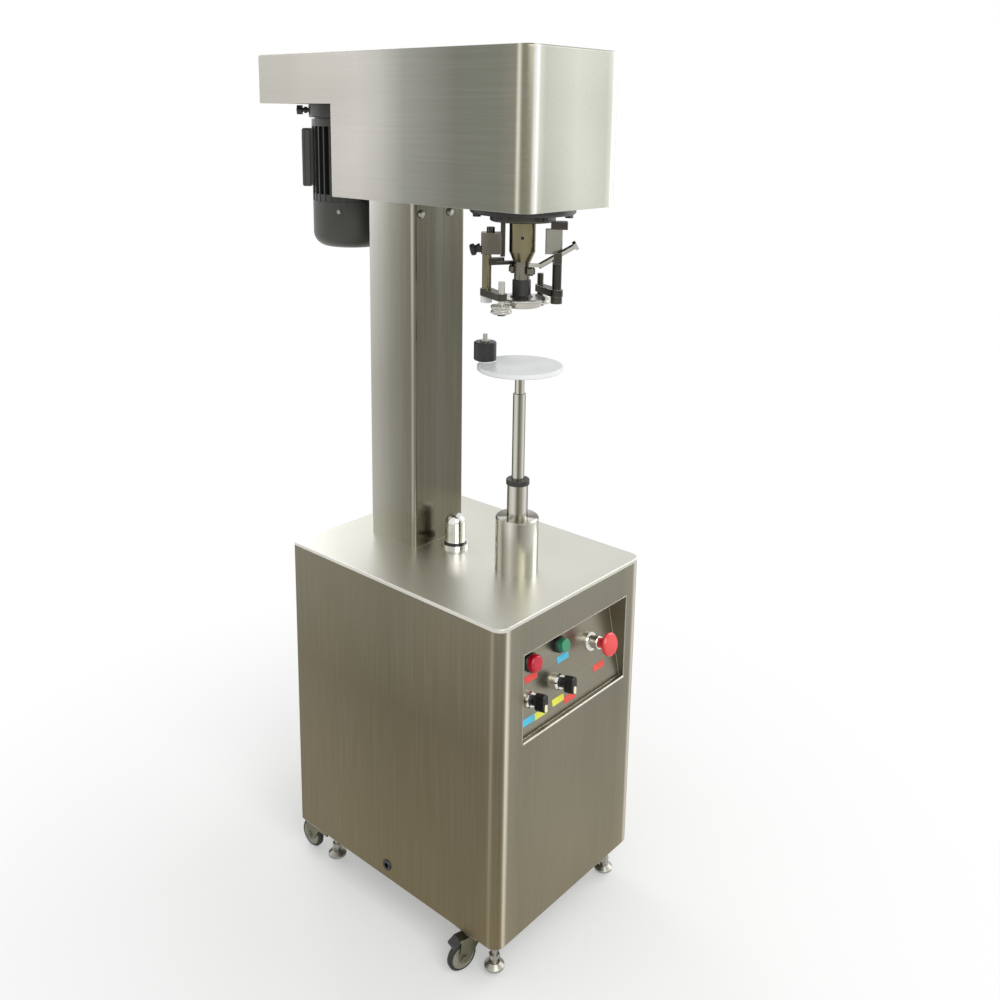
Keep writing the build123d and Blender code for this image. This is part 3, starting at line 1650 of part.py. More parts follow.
def lifter_sleeve():
    """Sleeve with its piston rod, and the lock ring on top."""
    rod_bore = rod_radius + running_fit
    tube = revolved([
        (0, piston_rod_bottom),
        (piston_rod_radius, piston_rod_bottom),
        (piston_rod_radius, sleeve_bottom),
        (sleeve_radius, sleeve_bottom),
        (sleeve_radius, sleeve_top),
        (rod_bore, sleeve_top),
        (rod_bore, sleeve_bottom + sleeve_floor),
        (0, sleeve_bottom + sleeve_floor),
    ])
    slot = Box(sleeve_slot_depth, sleeve_slot_width, sleeve_slot_length)
    slot = Pos(sleeve_radius, 0, (sleeve_bottom + sleeve_top) / 2) * slot
    tube -= Rot(0, 0, head_turn + sleeve_slot_turn) * slot
    ring = revolved([
        (rod_bore, sleeve_top),
        (lock_ring_radius, sleeve_top),
        (lock_ring_radius, sleeve_top + lock_ring_height - edge_break),
        (lock_ring_radius - edge_break, sleeve_top + lock_ring_height),
        (rod_bore, sleeve_top + lock_ring_height),
    ])
    return [Pos(0, spindle_y, 0) * tube, Pos(0, spindle_y, 0) * ring]


def lifter_rod():
    return revolved([
        (0, rod_bottom),
        (rod_radius, rod_bottom),
        (rod_radius, rod_neck_bottom - edge_break),
        (rod_neck_radius, rod_neck_bottom),
        (rod_neck_radius, disc_bottom),
        (disc_spigot_radius, disc_bottom),
        (disc_spigot_radius, disc_top - disc_floor),
        (0, disc_top - disc_floor),
    ], 0, spindle_y)


def lifter_disc():
    disc = revolved([
        (0, disc_bottom),
        (disc_radius - edge_round, disc_bottom),
        (disc_radius, disc_bottom + edge_round),
        (disc_radius, disc_top - edge_round),
        (disc_radius - edge_round, disc_top),
        (0, disc_top),
    ])
    disc -= cylinder(disc_spigot_radius + running_fit, disc_bottom, disc_top - disc_floor)
    for x, y in bolt_circle(disc_screw_circle, 3, head_turn - 90):
        disc += cylinder(disc_screw_radius, disc_bottom - disc_screw_height, disc_bottom, x, y)
    pad_top = disc_top + guide_pad_height
    pad = cylinder(guide_roller_radius + seat_gap, disc_bottom + disc_floor, pad_top, *guide_place)
    disc += pad & cylinder(disc_radius - edge_round, disc_bottom, pad_top)
    roller_top_height = pad_top + belt_gap + guide_roller_height + belt_gap
    stud = revolved([
        (0, disc_bottom + disc_floor),
        (guide_stud_radius, disc_bottom + disc_floor),
        (guide_stud_radius, roller_top_height),
        (guide_stud_radius + guide_washer_rim, roller_top_height),
        (guide_stud_radius + guide_washer_rim, roller_top_height + guide_washer_height),
        (guide_stud_radius - edge_break, roller_top_height + guide_washer_height),
        (guide_stud_radius - edge_break, guide_stud_top),
        (0, guide_stud_top),
    ], *guide_place)
    return Pos(0, spindle_y, 0) * (disc + stud)


def can_guide_roller():
    base = disc_top + guide_pad_height + belt_gap
    top = base + guide_roller_height
    bore = guide_stud_radius + running_fit
    roller = revolved([
        (bore, base),
        (guide_roller_radius - edge_round, base),
        (guide_roller_radius, base + edge_round),
        (guide_roller_radius, top - edge_round),
        (guide_roller_radius - edge_round, top),
        (bore, top),
    ], *guide_place)
    return Pos(0, spindle_y, 0) * roller


def dome_cap():
    flange_top = table_height + dome_flange_height
    ring_top = flange_top + dome_ring_height
    dome_top = table_height + dome_height
    cap = cylinder(dome_radius, ring_top, dome_top)
    cap = fillet(cap.edges().group_by(Axis.Z)[-1], dome_radius - dome_flat_radius)
    cap += cylinder(dome_radius + dome_ring_rim, flange_top, ring_top)
    cap += cylinder(dome_flange_radius, table_height, flange_top)
    return Pos(0, dome_cap_y, 0) * cap


os.makedirs("parts", exist_ok=True)

save("cabinet_shell", cabinet_shell())
save("table_top", table_top())
save("base_pan", base_pan())
save("rear_panel", rear_panel())
save("electrics_plate", electrics_plate())
save("cable_entries", *cable_entries())
save("control_panel", control_panel())
save("panel_fittings", *panel_fittings())
save("pilot_lamp", pilot_lamp())
save("start_button", start_button())
save("stop_button", stop_button())
for side, place in zip(("left", "right"), selector_places):
    save(f"selector_{side}", selector(place))
for corner in rest_headings:
    save(f"caster_fork_{corner}", fork(corner))
    save(f"caster_wheel_{corner}", wheel(corner))
    save(f"levelling_foot_{corner}", levelling_foot(corner))
save("dome_cap", dome_cap())
save("column", column())
save("head_plate", head_plate())
save("hood", hood())
save("hood_cover", hood_cover())
save("frame_bolts", *frame_bolts())
save("bearing_housing", bearing_housing())
save("spindle_bearings", *spindle_bearings())
save("bearing_cover", bearing_cover())
save("motor_body", motor_body())
save("motor_fan_cover", motor_fan_cover())
save("terminal_box", terminal_box())
save("motor_shaft", motor_shaft())
save("motor_pulley", motor_pulley())
save("spindle_pulley", spindle_pulley())
save("drive_belt", drive_belt())
save("shaft_anchor", shaft_anchor())
save("centre_shaft", centre_shaft())
save("seaming_chuck", seaming_chuck())
save("turret_spindle", turret_spindle())
save("carrier_plate", carrier_plate())
save("arm_hangers", *arm_hangers())
save("seaming_cone", seaming_cone())
save("first_arm", first_arm())
save("second_arm", second_arm())
save("first_roller", in_head(seaming_roller()))
save("second_roller", in_head(opposite(seaming_roller())))
save("first_follower", in_head(follower()))
save("second_follower", in_head(opposite(follower())))
save("lifter_base", lifter_base())
save("lift_actuator", lift_actuator())
save("lifter_sleeve", *lifter_sleeve())
save("lifter_rod", lifter_rod())
save("lifter_disc", lifter_disc())
save("can_guide_roller", can_guide_roller())
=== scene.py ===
import math

import bmesh
import bpy
from mathutils import Matrix, Vector


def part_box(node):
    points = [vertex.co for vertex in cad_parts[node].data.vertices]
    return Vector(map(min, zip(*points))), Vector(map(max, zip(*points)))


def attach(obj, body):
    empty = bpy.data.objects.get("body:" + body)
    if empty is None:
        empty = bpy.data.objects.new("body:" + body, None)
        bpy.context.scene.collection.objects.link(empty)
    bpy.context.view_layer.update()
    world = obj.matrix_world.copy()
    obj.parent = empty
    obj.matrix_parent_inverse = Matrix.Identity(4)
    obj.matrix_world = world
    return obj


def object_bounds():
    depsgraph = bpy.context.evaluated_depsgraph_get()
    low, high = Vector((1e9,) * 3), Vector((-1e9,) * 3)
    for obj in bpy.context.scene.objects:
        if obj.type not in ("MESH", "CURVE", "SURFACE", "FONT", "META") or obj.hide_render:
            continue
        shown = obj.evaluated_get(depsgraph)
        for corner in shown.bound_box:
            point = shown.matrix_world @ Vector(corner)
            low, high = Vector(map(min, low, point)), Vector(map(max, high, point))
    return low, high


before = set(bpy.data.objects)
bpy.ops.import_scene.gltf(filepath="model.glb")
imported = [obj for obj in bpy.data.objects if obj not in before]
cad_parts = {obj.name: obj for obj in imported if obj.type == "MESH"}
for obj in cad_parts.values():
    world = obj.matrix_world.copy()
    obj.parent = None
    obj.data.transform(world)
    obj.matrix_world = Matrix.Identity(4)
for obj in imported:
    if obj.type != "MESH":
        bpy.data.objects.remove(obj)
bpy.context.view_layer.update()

MM = 0.001

# Camera, solved from the photograph. The picture is 1000 pixels wide and high.
IMAGE_SIZE = 1000
FOCAL_PIXELS = 1032.8
OPTICAL_AXIS_ROW = 338.0
CAMERA_FROM_SPINDLE = Vector((-1344.2, -1119.5, 1481.4)) * MM
CAMERA_YAW = 0.856
CAMERA_PITCH = -0.211
CAMERA_ROLL = 0.015
SENSOR_WIDTH = 36.0
CLIP_END = 50


# Node trees

NOISE_ROUGHNESS = 0.55
BEVEL_SAMPLES = 4
EDGE_LEAVES = (0.80, 0.995)


def new_material(name):
    material = bpy.data.materials.new(name)
    material.use_nodes = True
    tree = material.node_tree
    tree.nodes.clear()
    return material, tree


def add(tree, kind, values=None, **settings):
    """Adds a shader node, sets its properties, and sets or links its inputs by name or number."""
    node = tree.nodes.new(kind)
    for key, value in settings.items():
        setattr(node, key, value)
    for key, value in (values or {}).items():
        socket = node.inputs[key]
        if isinstance(value, bpy.types.NodeSocket):
            tree.links.new(value, socket)
        else:
            socket.default_value = value
    return node


def colour(red, green, blue):
    """Linear colour from the 0 to 255 values that a picture shows."""
    def linear(value):
        value /= 255
        return value / 12.92 if value <= 0.04045 else ((value + 0.055) / 1.055) ** 2.4
    return (linear(red), linear(green), linear(blue), 1.0)


def ramp(tree, factor, stops):
    node = add(tree, "ShaderNodeValToRGB", {"Fac": factor})
    node.color_ramp.interpolation = "LINEAR"
    elements = node.color_ramp.elements
    while len(elements) < len(stops):
        elements.new(0.5)
    for element, (place, tint) in zip(elements, stops):
        element.position = place
        element.color = tint
    return node.outputs["Color"]


def remap(tree, value, low, high, from_low=0.0, from_high=1.0):
    values = {"Value": value, "To Min": low, "To Max": high}
    values.update({"From Min": from_low, "From Max": from_high})
    return add(tree, "ShaderNodeMapRange", values).outputs["Result"]


def stretched(tree, scale):
    """The object's own coordinates, in metres, stretched along its axes."""
    place = add(tree, "ShaderNodeTexCoord").outputs["Object"]
    return add(tree, "ShaderNodeMapping", {"Vector": place, "Scale": scale}).outputs["Vector"]


def noise(tree, scale, stretch=(1, 1, 1), detail=3.0):
    values = {
        "Vector": stretched(tree, stretch),
        "Scale": scale,
        "Detail": detail,
        "Roughness": NOISE_ROUGHNESS,
    }
    return add(tree, "ShaderNodeTexNoise", values).outputs["Fac"]


def mixed(tree, factor, first, second):
    node = add(tree, "ShaderNodeMix", data_type="RGBA", blend_type="MIX")
    inputs = (("Factor", "VALUE", factor), ("A", "RGBA", first), ("B", "RGBA", second))
    for name, kind, value in inputs:
        socket = [item for item in node.inputs if item.name == name and item.type == kind][0]
        if isinstance(value, bpy.types.NodeSocket):
            tree.links.new(value, socket)
        else:
            socket.default_value = value
    return [item for item in node.outputs if item.type == "RGBA"][0]


def coordinates(tree):
    """The object's own X, Y and Z, in metres."""
    place = add(tree, "ShaderNodeTexCoord").outputs["Object"]
    return add(tree, "ShaderNodeSeparateXYZ", {"Vector": place}).outputs


def minus(tree, first, second):
    return add(tree, "ShaderNodeMath", {0: first, 1: second}, operation="SUBTRACT").outputs[0]


def up_between(tree, start, end):
    """0 to 1 up or down the object, between two heights in metres."""
    return remap(tree, coordinates(tree)["Z"], 0.0, 1.0, start, end)


def rounded_normal(tree, radius):
    return add(tree, "ShaderNodeBevel", {"Radius": radius}, samples=BEVEL_SAMPLES).outputs["Normal"]


def edge_mask(tree, radius):
    """1 at the sharp edges and 0 on the faces, from how far a rounded normal leaves the true one."""
    rounded = rounded_normal(tree, radius)
    flat = add(tree, "ShaderNodeNewGeometry").outputs["Normal"]
    dot = add(tree, "ShaderNodeVectorMath", {0: rounded, 1: flat}, operation="DOT_PRODUCT")
    return remap(tree, dot.outputs["Value"], 1.0, 0.0, *EDGE_LEAVES)


def edge_wear_and_highlight(tree, base, radius, strength, tint):
    """The base colour with its sharp edges lightened towards the tint: partly wear, partly a painted
    edge highlight.
    """
    return mixed(tree, remap(tree, edge_mask(tree, radius), 0.0, strength), base, tint)


def bumped(tree, height, strength, distance, radius):
    values = {"Height": height, "Strength": strength, "Distance": distance}
    values["Normal"] = rounded_normal(tree, radius)
    return add(tree, "ShaderNodeBump", values).outputs["Normal"]


def finish_material(tree, shader):
    output = add(tree, "ShaderNodeOutputMaterial")
    tree.links.new(shader, output.inputs["Surface"])


def finish_surface(tree, base, metallic, roughness, normal, extra=None):
    values = {"Base Color": base, "Metallic": metallic, "Roughness": roughness, "Normal": normal}
    values.update(extra or {})
    finish_material(tree, add(tree, "ShaderNodeBsdfPrincipled", values).outputs["BSDF"])


# Metals

BRUSH_SHADE = (0.02, 0.02, 0.016, 1)
BRUSH_GLINT = (1.0, 1.0, 0.97, 1)
CLOUD_SHADE = (0.10, 0.105, 0.075, 1)
SHEET_EDGE = (0.86, 0.85, 0.78, 1)
LATHE_SHADE = (0.05, 0.05, 0.045, 1)
WORN_AND_HIGHLIT_EDGE = (0.85, 0.84, 0.80, 1)
SMEAR_SHADE = (0.35, 0.35, 0.33, 1)
LATHE_SCALE = 700
LATHE_LINES = (1, 1, 30)
EVEN = (1, 1, 1)
BAR_ROUGHNESS = (0.14, 0.26)
FINE_BUMP = 0.0003
FINE_ROUNDING = 0.0006


def sheet_steel(name, tint, grain, roughness=(0.26, 0.38)):
    """Brushed stainless sheet. tint gives the broad colour, for the cabinet, hood and column with
    painted reflections, grain the stretch of its brush marks.
    """
    material, tree = new_material(name)
    broad = tint(tree)
    fine = noise(tree, 1100, grain, detail=4)
    medium = noise(tree, 220, grain, detail=2)
    cloud = noise(tree, 3.2, (1, 1, 0.7), detail=1)
    base = mixed(tree, remap(tree, fine, 0.0, 0.06, 0.3, 0.75), broad, BRUSH_SHADE)
    base = mixed(tree, remap(tree, medium, 0.0, 0.025, 0.4, 0.75), base, BRUSH_GLINT)
    base = mixed(tree, remap(tree, cloud, 0.0, 0.14, 0.42, 0.68), base, CLOUD_SHADE)
    base = edge_wear_and_highlight(tree, base, 0.0015, 0.65, SHEET_EDGE)
    rough = remap(tree, cloud, *roughness, 0.3, 0.7)
    normal = bumped(tree, fine, 0.025, FINE_BUMP, 0.0012)
    finish_surface(tree, base, 1.0, rough, normal, {"Anisotropic": 0.35})
    return material


def lathe_finish(tree, base, stretch, roughness, shade, edge, bump):
    """Fine lathe lines and lighter edges over a base colour, partly wear and partly a painted edge
    highlight.
    """
    lines = noise(tree, LATHE_SCALE, stretch)
    base = mixed(tree, remap(tree, lines, 0.0, shade), base, LATHE_SHADE)
    base = edge_wear_and_highlight(tree, base, 0.0008, edge, WORN_AND_HIGHLIT_EDGE)
    rough = remap(tree, lines, *roughness, 0.3, 0.7)
    finish_surface(tree, base, 1.0, rough, bumped(tree, lines, bump, FINE_BUMP, FINE_ROUNDING))


def machined(name, light, dark, roughness=(0.16, 0.32), stretch=LATHE_LINES):
    """Turned or ground steel: fine lathe lines, lighter edges (wear and a painted edge highlight) and
    darker oily patches.
    """
    material, tree = new_material(name)
    patch = noise(tree, 14, detail=1)
    base = mixed(tree, remap(tree, patch, 0.15, 0.75, 0.3, 0.7), light, dark)
    lathe_finish(tree, base, stretch, roughness, shade=0.25, edge=0.7, bump=0.12)
    return material


def round_bar(name, stops):
    """Ground round steel about the spindle's line, with painted reflection bands, light and dark, round
    it.
    """
    material, tree = new_material(name)
    axes = coordinates(tree)
    x = minus(tree, axes["X"], SPINDLE.x)
    y = minus(tree, axes["Y"], SPINDLE.y)
    turn = add(tree, "ShaderNodeMath", {0: y, 1: x}, operation="ARCTAN2").outputs[0]
    share = remap(tree, turn, 0.0, 1.0, -math.pi, math.pi)
    base = ramp(tree, share, [(at, colour(*tint)) for at, tint in stops])
    lathe_finish(tree, base, LATHE_LINES, BAR_ROUGHNESS, shade=0.2, edge=0.5, bump=0.10)
    return material


def polished(name, tint):
    material, tree = new_material(name)
    smear = noise(tree, 60)
    base = mixed(tree, remap(tree, smear, 0.0, 0.3, 0.4, 0.7), tint, SMEAR_SHADE)
    rough = remap(tree, smear, 0.04, 0.14, 0.35, 0.7)
    finish_surface(tree, base, 1.0, rough, bumped(tree, smear, 0.03, FINE_BUMP, FINE_ROUNDING))
    return material


# Paints, plastics and rubber

EDGE_GAIN = 1.6
EDGE_LIFT = 0.05


def moulded(name, tint, shade, roughness, grain, wear_and_highlight, coat=0.0):
    """Moulded plastic or paint: two close tints, a fine grain and lighter edges, partly wear and partly
    a painted edge highlight.
    """
    material, tree = new_material(name)
    speckle = noise(tree, 1400)
    patch = noise(tree, 12, detail=1)
    base = mixed(tree, remap(tree, patch, 0.1, 0.8, 0.3, 0.7), tint, shade)
    lighter = tuple(min(1.0, channel * EDGE_GAIN + EDGE_LIFT) for channel in tint[:3]) + (1.0,)
    base = edge_wear_and_highlight(tree, base, 0.0010, wear_and_highlight, lighter)
    rough = remap(tree, patch, *roughness, 0.35, 0.7)
    normal = bumped(tree, speckle, grain, 0.0004, 0.0008)
    finish_surface(tree, base, 0.0, rough, normal, {"Coat Weight": coat})
    return material


# What the parts are made of, and the reflections painted on them

def box_middle(node):
    low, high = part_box(node)
    return (low + high) / 2


SPINDLE = box_middle("centre_shaft")
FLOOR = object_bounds()[0][2]
CABINET_LOW, CABINET_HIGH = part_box("cabinet_shell")
COLUMN_LOW, COLUMN_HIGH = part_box("column")
HOOD_LOW, HOOD_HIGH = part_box("hood")


def bend_ramp(tree, low, high, stops):
    """Painted reflections round a case: a tint by the distance from its front bends, negative along a
    side, positive along the front, in millimetres. Both sides match."""
    axes = coordinates(tree)
    half_width = (high.x - low.x) / 2
    aside = add(tree, "ShaderNodeMath", {0: axes["X"]}, operation="ABSOLUTE").outputs[0]
    inward = minus(tree, half_width, aside)
    back = minus(tree, axes["Y"], low.y)
    distance = minus(tree, inward, back)
    depth = high.y - low.y
    span = depth + half_width
    share = remap(tree, distance, 0.0, 1.0, -depth, half_width)
    return ramp(tree, share, [((at * MM + depth) / span, colour(*tint)) for at, tint in stops])


# Painted reflections on the cabinet, hood and column: light and dark bands at the front bends and
# gradients along the sides, listed by millimetres from the bends.
CABINET_REFLECTION_BANDS = [
    (-525, (110, 102, 82)),
    (-260, (101, 93, 71)),
    (-40, (106, 96, 75)),
    (-24, (110, 98, 77)),
    (-19, (152, 141, 120)),
    (-13, (108, 100, 79)),
    (6, (100, 92, 73)),
    (12, (128, 120, 100)),
    (16, (224, 215, 198)),
    (20, (222, 213, 196)),
    (25, (136, 130, 112)),
    (60, (124, 119, 101)),
    (200, (130, 124, 106)),
]
HOOD_REFLECTION_BANDS = [
    (-668, (180, 177, 170)),
    (-390, (188, 184, 178)),
    (-330, (174, 172, 165)),
    (-270, (142, 142, 136)),
    (-150, (112, 112, 103)),
    (-60, (116, 117, 105)),
    (-26, (128, 126, 112)),
    (-20, (226, 224, 206)),
    (-14, (130, 128, 110)),
    (2, (124, 120, 104)),
    (8, (150, 148, 132)),
    (13, (232, 230, 222)),
    (19, (240, 240, 234)),
    (26, (176, 177, 166)),
    (40, (158, 159, 149)),
    (120, (172, 173, 162)),
]
COLUMN_REFLECTION_BANDS = [
    (-122, (212, 212, 206)),
    (-95, (188, 187, 178)),
    (-60, (150, 149, 138)),
    (-25, (120, 119, 106)),
    (-10, (112, 110, 97)),
    (-5, (196, 192, 178)),
    (0, (120, 116, 100)),
    (6, (88, 86, 72)),
    (40, (86, 85, 72)),
    (66, (98, 97, 86)),
]

# Painted reflection bands, as shares of the way round, from the left by the front, the right and the
# back to the left again
BASE_REFLECTION_BANDS = [
    (0.00, (150, 148, 136)),
    (0.06, (226, 224, 214)),
    (0.12, (118, 116, 102)),
    (0.20, (182, 180, 166)),
    (0.27, (236, 234, 226)),
    (0.33, (96, 92, 80)),
    (0.50, (190, 188, 176)),
    (0.75, (140, 138, 126)),
    (0.87, (86, 84, 72)),
    (0.93, (214, 212, 200)),
    (1.00, (150, 148, 136)),
]
ROD_REFLECTION_BANDS = [
    (0.00, (206, 204, 194)),
    (0.05, (214, 212, 200)),
    (0.11, (96, 92, 78)),
    (0.17, (150, 146, 130)),
    (0.24, (232, 230, 222)),
    (0.31, (78, 74, 64)),
    (0.50, (170, 168, 156)),
    (0.75, (120, 118, 106)),
    (0.88, (70, 68, 58)),
    (0.94, (130, 126, 110)),
    (1.00, (206, 204, 194)),
]


# Painted reflections on the cabinet: the bands round its bends, lighter towards the top and lighter and
# yellower towards the bottom.
def cabinet_painted_reflections(tree):
    sides = bend_ramp(tree, CABINET_LOW, CABINET_HIGH, CABINET_REFLECTION_BANDS)
    rise = remap(tree, up_between(tree, 0.45, 0.68), 0.0, 0.12)
    raised = mixed(tree, rise, sides, colour(190, 190, 178))
    sink = remap(tree, up_between(tree, 0.45, 0.10), 0.0, 0.22)
    return mixed(tree, sink, raised, colour(168, 150, 104))


# Painted reflections on the hood: the bands round its bends, with random streaks of a darker grey.
def hood_painted_reflections(tree):
    sides = bend_ramp(tree, HOOD_LOW, HOOD_HIGH, HOOD_REFLECTION_BANDS)
    level = remap(tree, noise(tree, 2.0, (0.2, 0.2, 6.0), detail=1), 0.0, 0.08, 0.4, 0.7)
    return mixed(tree, level, sides, colour(120, 122, 112))


# Painted reflections on the column: the bands round its bends, drawn towards an olive grey from 1.35 m
# down to 1.0 m.
def column_painted_reflections(tree):
    sides = bend_ramp(tree, COLUMN_LOW, COLUMN_HIGH, COLUMN_REFLECTION_BANDS)
    fall = remap(tree, up_between(tree, 1.35, 1.0), 0.0, 0.42)
    return mixed(tree, fall, sides, colour(116, 112, 96))


def table_tint(tree):
    cloud = noise(tree, 4.0, detail=1)
    return mixed(tree, cloud, colour(226, 225, 216), colour(204, 203, 192))


def plain_tint(*channels):
    darker = [channel * PATCH_SHADE for channel in channels]
    return lambda tree: mixed(tree, noise(tree, 8, detail=1), colour(*channels), colour(*darker))


PATCH_SHADE = 0.85
VERTICAL_GRAIN = (1.0, 1.0, 0.02)
LENGTH_GRAIN = (1.0, 0.02, 1.0)
CROSS_GRAIN = (0.02, 1.0, 1.0)

CABINET_STEEL = sheet_steel("cabinet_steel", cabinet_painted_reflections, VERTICAL_GRAIN)
HOOD_STEEL = sheet_steel("hood_steel", hood_painted_reflections, LENGTH_GRAIN)
COLUMN_STEEL = sheet_steel("column_steel", column_painted_reflections, VERTICAL_GRAIN, (0.2, 0.3))
TABLE_STEEL = sheet_steel("table_steel", table_tint, CROSS_GRAIN, (0.28, 0.38))
PANEL_STEEL = sheet_steel("panel_steel", plain_tint(158, 153, 135), CROSS_GRAIN)
PLATE_STEEL = sheet_steel("plate_steel", plain_tint(150, 148, 138), CROSS_GRAIN)
BRIGHT_STEEL = machined("bright_steel", colour(214, 212, 204), colour(150, 147, 136))
GREY_STEEL = machined("grey_steel", colour(138, 134, 122), colour(80, 76, 66))
DARK_STEEL = machined("dark_steel", colour(84, 80, 72), colour(44, 42, 38), (0.3, 0.45))
BRONZE_STEEL = machined("bronze_steel", colour(146, 138, 108), colour(104, 97, 72))
FORK_STEEL = machined(
    "fork_steel", colour(134, 131, 108), colour(102, 99, 78), (0.3, 0.45), EVEN
)
ZINC_STEEL = machined(
    "zinc_steel", colour(196, 194, 184), colour(140, 138, 126), (0.25, 0.4), EVEN
)
BASE_STEEL = round_bar("base_steel", BASE_REFLECTION_BANDS)
ROD_STEEL = round_bar("rod_steel", ROD_REFLECTION_BANDS)
CHROME = polished("chrome", colour(232, 231, 226))
BLACK_IRON = moulded("black_iron", colour(40, 39, 37), colour(24, 23, 22), (0.35, 0.5), 0.12, 0.25)
MOTOR_PAINT = moulded(
    "motor_paint", colour(40, 40, 37), colour(28, 28, 26), (0.35, 0.48), 0.08, 0.2, 0.1
)
BOX_PAINT = moulded("box_paint", colour(62, 63, 58), colour(50, 51, 47), (0.35, 0.5), 0.06, 0.2)
COVER_PAINT = moulded("cover_paint", colour(58, 58, 50), colour(44, 44, 38), (0.35, 0.5), 0.08, 0.2)
BLACK_PLASTIC = moulded(
    "black_plastic", colour(26, 25, 26), colour(17, 16, 17), (0.3, 0.45), 0.05, 0.12
)
WHITE_PLASTIC = moulded(
    "white_plastic", colour(226, 228, 226), colour(208, 212, 212), (0.25, 0.4), 0.03, 0.05
)
PALE_INLAY = moulded(
    "pale_inlay", colour(236, 234, 196), colour(222, 214, 176), (0.35, 0.5), 0.03, 0.05
)
RED_LENS = moulded("red_lens", colour(206, 6, 44), colour(176, 2, 34), (0.2, 0.3), 0.02, 0.1, 0.15)
RED_PLASTIC = moulded(
    "red_plastic", colour(232, 74, 72), colour(206, 40, 40), (0.3, 0.42), 0.03, 0.1, 0.3
)
GREEN_PLASTIC = moulded(
    "green_plastic", colour(52, 150, 108), colour(40, 128, 92), (0.25, 0.35), 0.03, 0.2, 0.3
)
RUBBER = moulded("rubber", colour(30, 30, 30), colour(20, 20, 20), (0.6, 0.8), 0.2, 0.1)
TYRE = moulded("tyre", colour(44, 42, 37), colour(28, 27, 24), (0.55, 0.75), 0.15, 0.15)
HUB = moulded("hub", colour(158, 155, 138), colour(120, 117, 100), (0.35, 0.5), 0.05, 0.3)
DEVICE_GREY = moulded(
    "device_grey", colour(170, 170, 166), colour(150, 150, 148), (0.4, 0.55), 0.05, 0.1
)
CORNERS = ("front_left", "front_right", "rear_left", "rear_right")


def dress(material, *nodes):
    for node in nodes:
        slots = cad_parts[node].data.materials
        slots.clear()
        slots.append(material)


def dress_faces(node, material, chosen):
    """Gives the faces whose middle and normal pass the test a material of their own."""
    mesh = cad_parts[node].data
    mesh.materials.append(material)
    index = len(mesh.materials) - 1
    for face in mesh.polygons:
        if chosen(face.center, face.normal):
            face.material_index = index


def spindle_radius(point):
    return math.hypot(point.x - SPINDLE.x, point.y - SPINDLE.y)


dress(CABINET_STEEL, "cabinet_shell", "rear_panel")
dress(HOOD_STEEL, "hood")
dress(COLUMN_STEEL, "column")
dress(TABLE_STEEL, "table_top")
dress(PANEL_STEEL, "control_panel")
dress(PLATE_STEEL, "head_plate", "hood_cover", "base_pan", "shaft_anchor")
dress(ZINC_STEEL, "frame_bolts", "electrics_plate")
dress(BLACK_IRON, "bearing_cover", "bearing_housing", "spindle_pulley", "motor_pulley")
dress(BRIGHT_STEEL, "spindle_bearings", "motor_shaft", "seaming_chuck", "first_roller", "second_roller")
dress(GREY_STEEL, "centre_shaft", "first_follower", "second_follower")
dress(BRONZE_STEEL, "seaming_cone")
dress(DARK_STEEL, "arm_hangers", "first_arm", "second_arm", "turret_spindle", "carrier_plate")
dress(BASE_STEEL, "lifter_base")
dress(ROD_STEEL, "lifter_sleeve", "lifter_rod")
dress(GREY_STEEL, "lift_actuator")
dress(WHITE_PLASTIC, "lifter_disc")
dress(BLACK_PLASTIC, "can_guide_roller", "cable_entries", "selector_left", "selector_right")
dress(CHROME, "dome_cap", "panel_fittings")
dress(MOTOR_PAINT, "motor_body")
dress(COVER_PAINT, "motor_fan_cover")
dress(BOX_PAINT, "terminal_box")
dress(RUBBER, "drive_belt")
dress(RED_LENS, "pilot_lamp")
dress(GREEN_PLASTIC, "start_button")
dress(RED_PLASTIC, "stop_button")
for corner in CORNERS:
    dress(FORK_STEEL, "caster_fork_" + corner)
    dress(ZINC_STEEL, "levelling_foot_" + corner)
    dress(TYRE, "caster_wheel_" + corner)


# Nodes of more than one colour

BEZEL_REACH = 22 * MM
BLACK_BEZELS = [box_middle("pilot_lamp"), box_middle("start_button")]


def black_bezels(centre, normal):
    reaches = [math.hypot(centre.x - middle.x, centre.z - middle.z) for middle in BLACK_BEZELS]
    return min(reaches) < BEZEL_REACH


LOCK_RING_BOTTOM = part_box("lifter_sleeve")[1].z - 9.5 * MM
DISC_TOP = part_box("can_guide_roller")[0].z - 1.3 * MM
STUD_BOTTOM = DISC_TOP + 1 * MM
DISC_UNDERSIDE = DISC_TOP - 9.5 * MM
DISC_SCREW_REACH = 40 * MM
DOME_RING = (0.6862, 0.6908)
UPRIGHT = 0.5
DEVICE_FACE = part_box("electrics_plate")[1].x - 16 * MM


def disc_screw_faces(centre, normal):
    return centre.z < DISC_UNDERSIDE and spindle_radius(centre) < DISC_SCREW_REACH


def dome_ring_faces(centre, normal):
    return DOME_RING[0] < centre.z < DOME_RING[1] and abs(normal.z) < UPRIGHT


dress_faces("panel_fittings", BLACK_PLASTIC, black_bezels)
dress_faces("lifter_sleeve", BLACK_IRON, lambda centre, normal: centre.z > LOCK_RING_BOTTOM)
dress_faces("lifter_disc", BRIGHT_STEEL, lambda centre, normal: centre.z > STUD_BOTTOM)
dress_faces("lifter_disc", BLACK_PLASTIC, disc_screw_faces)
dress_faces("dome_cap", BLACK_PLASTIC, dome_ring_faces)
dress_faces("electrics_plate", DEVICE_GREY, lambda centre, normal: centre.x < DEVICE_FACE)


# Seaming head: places measured along the line of the two arm posts, in millimetres

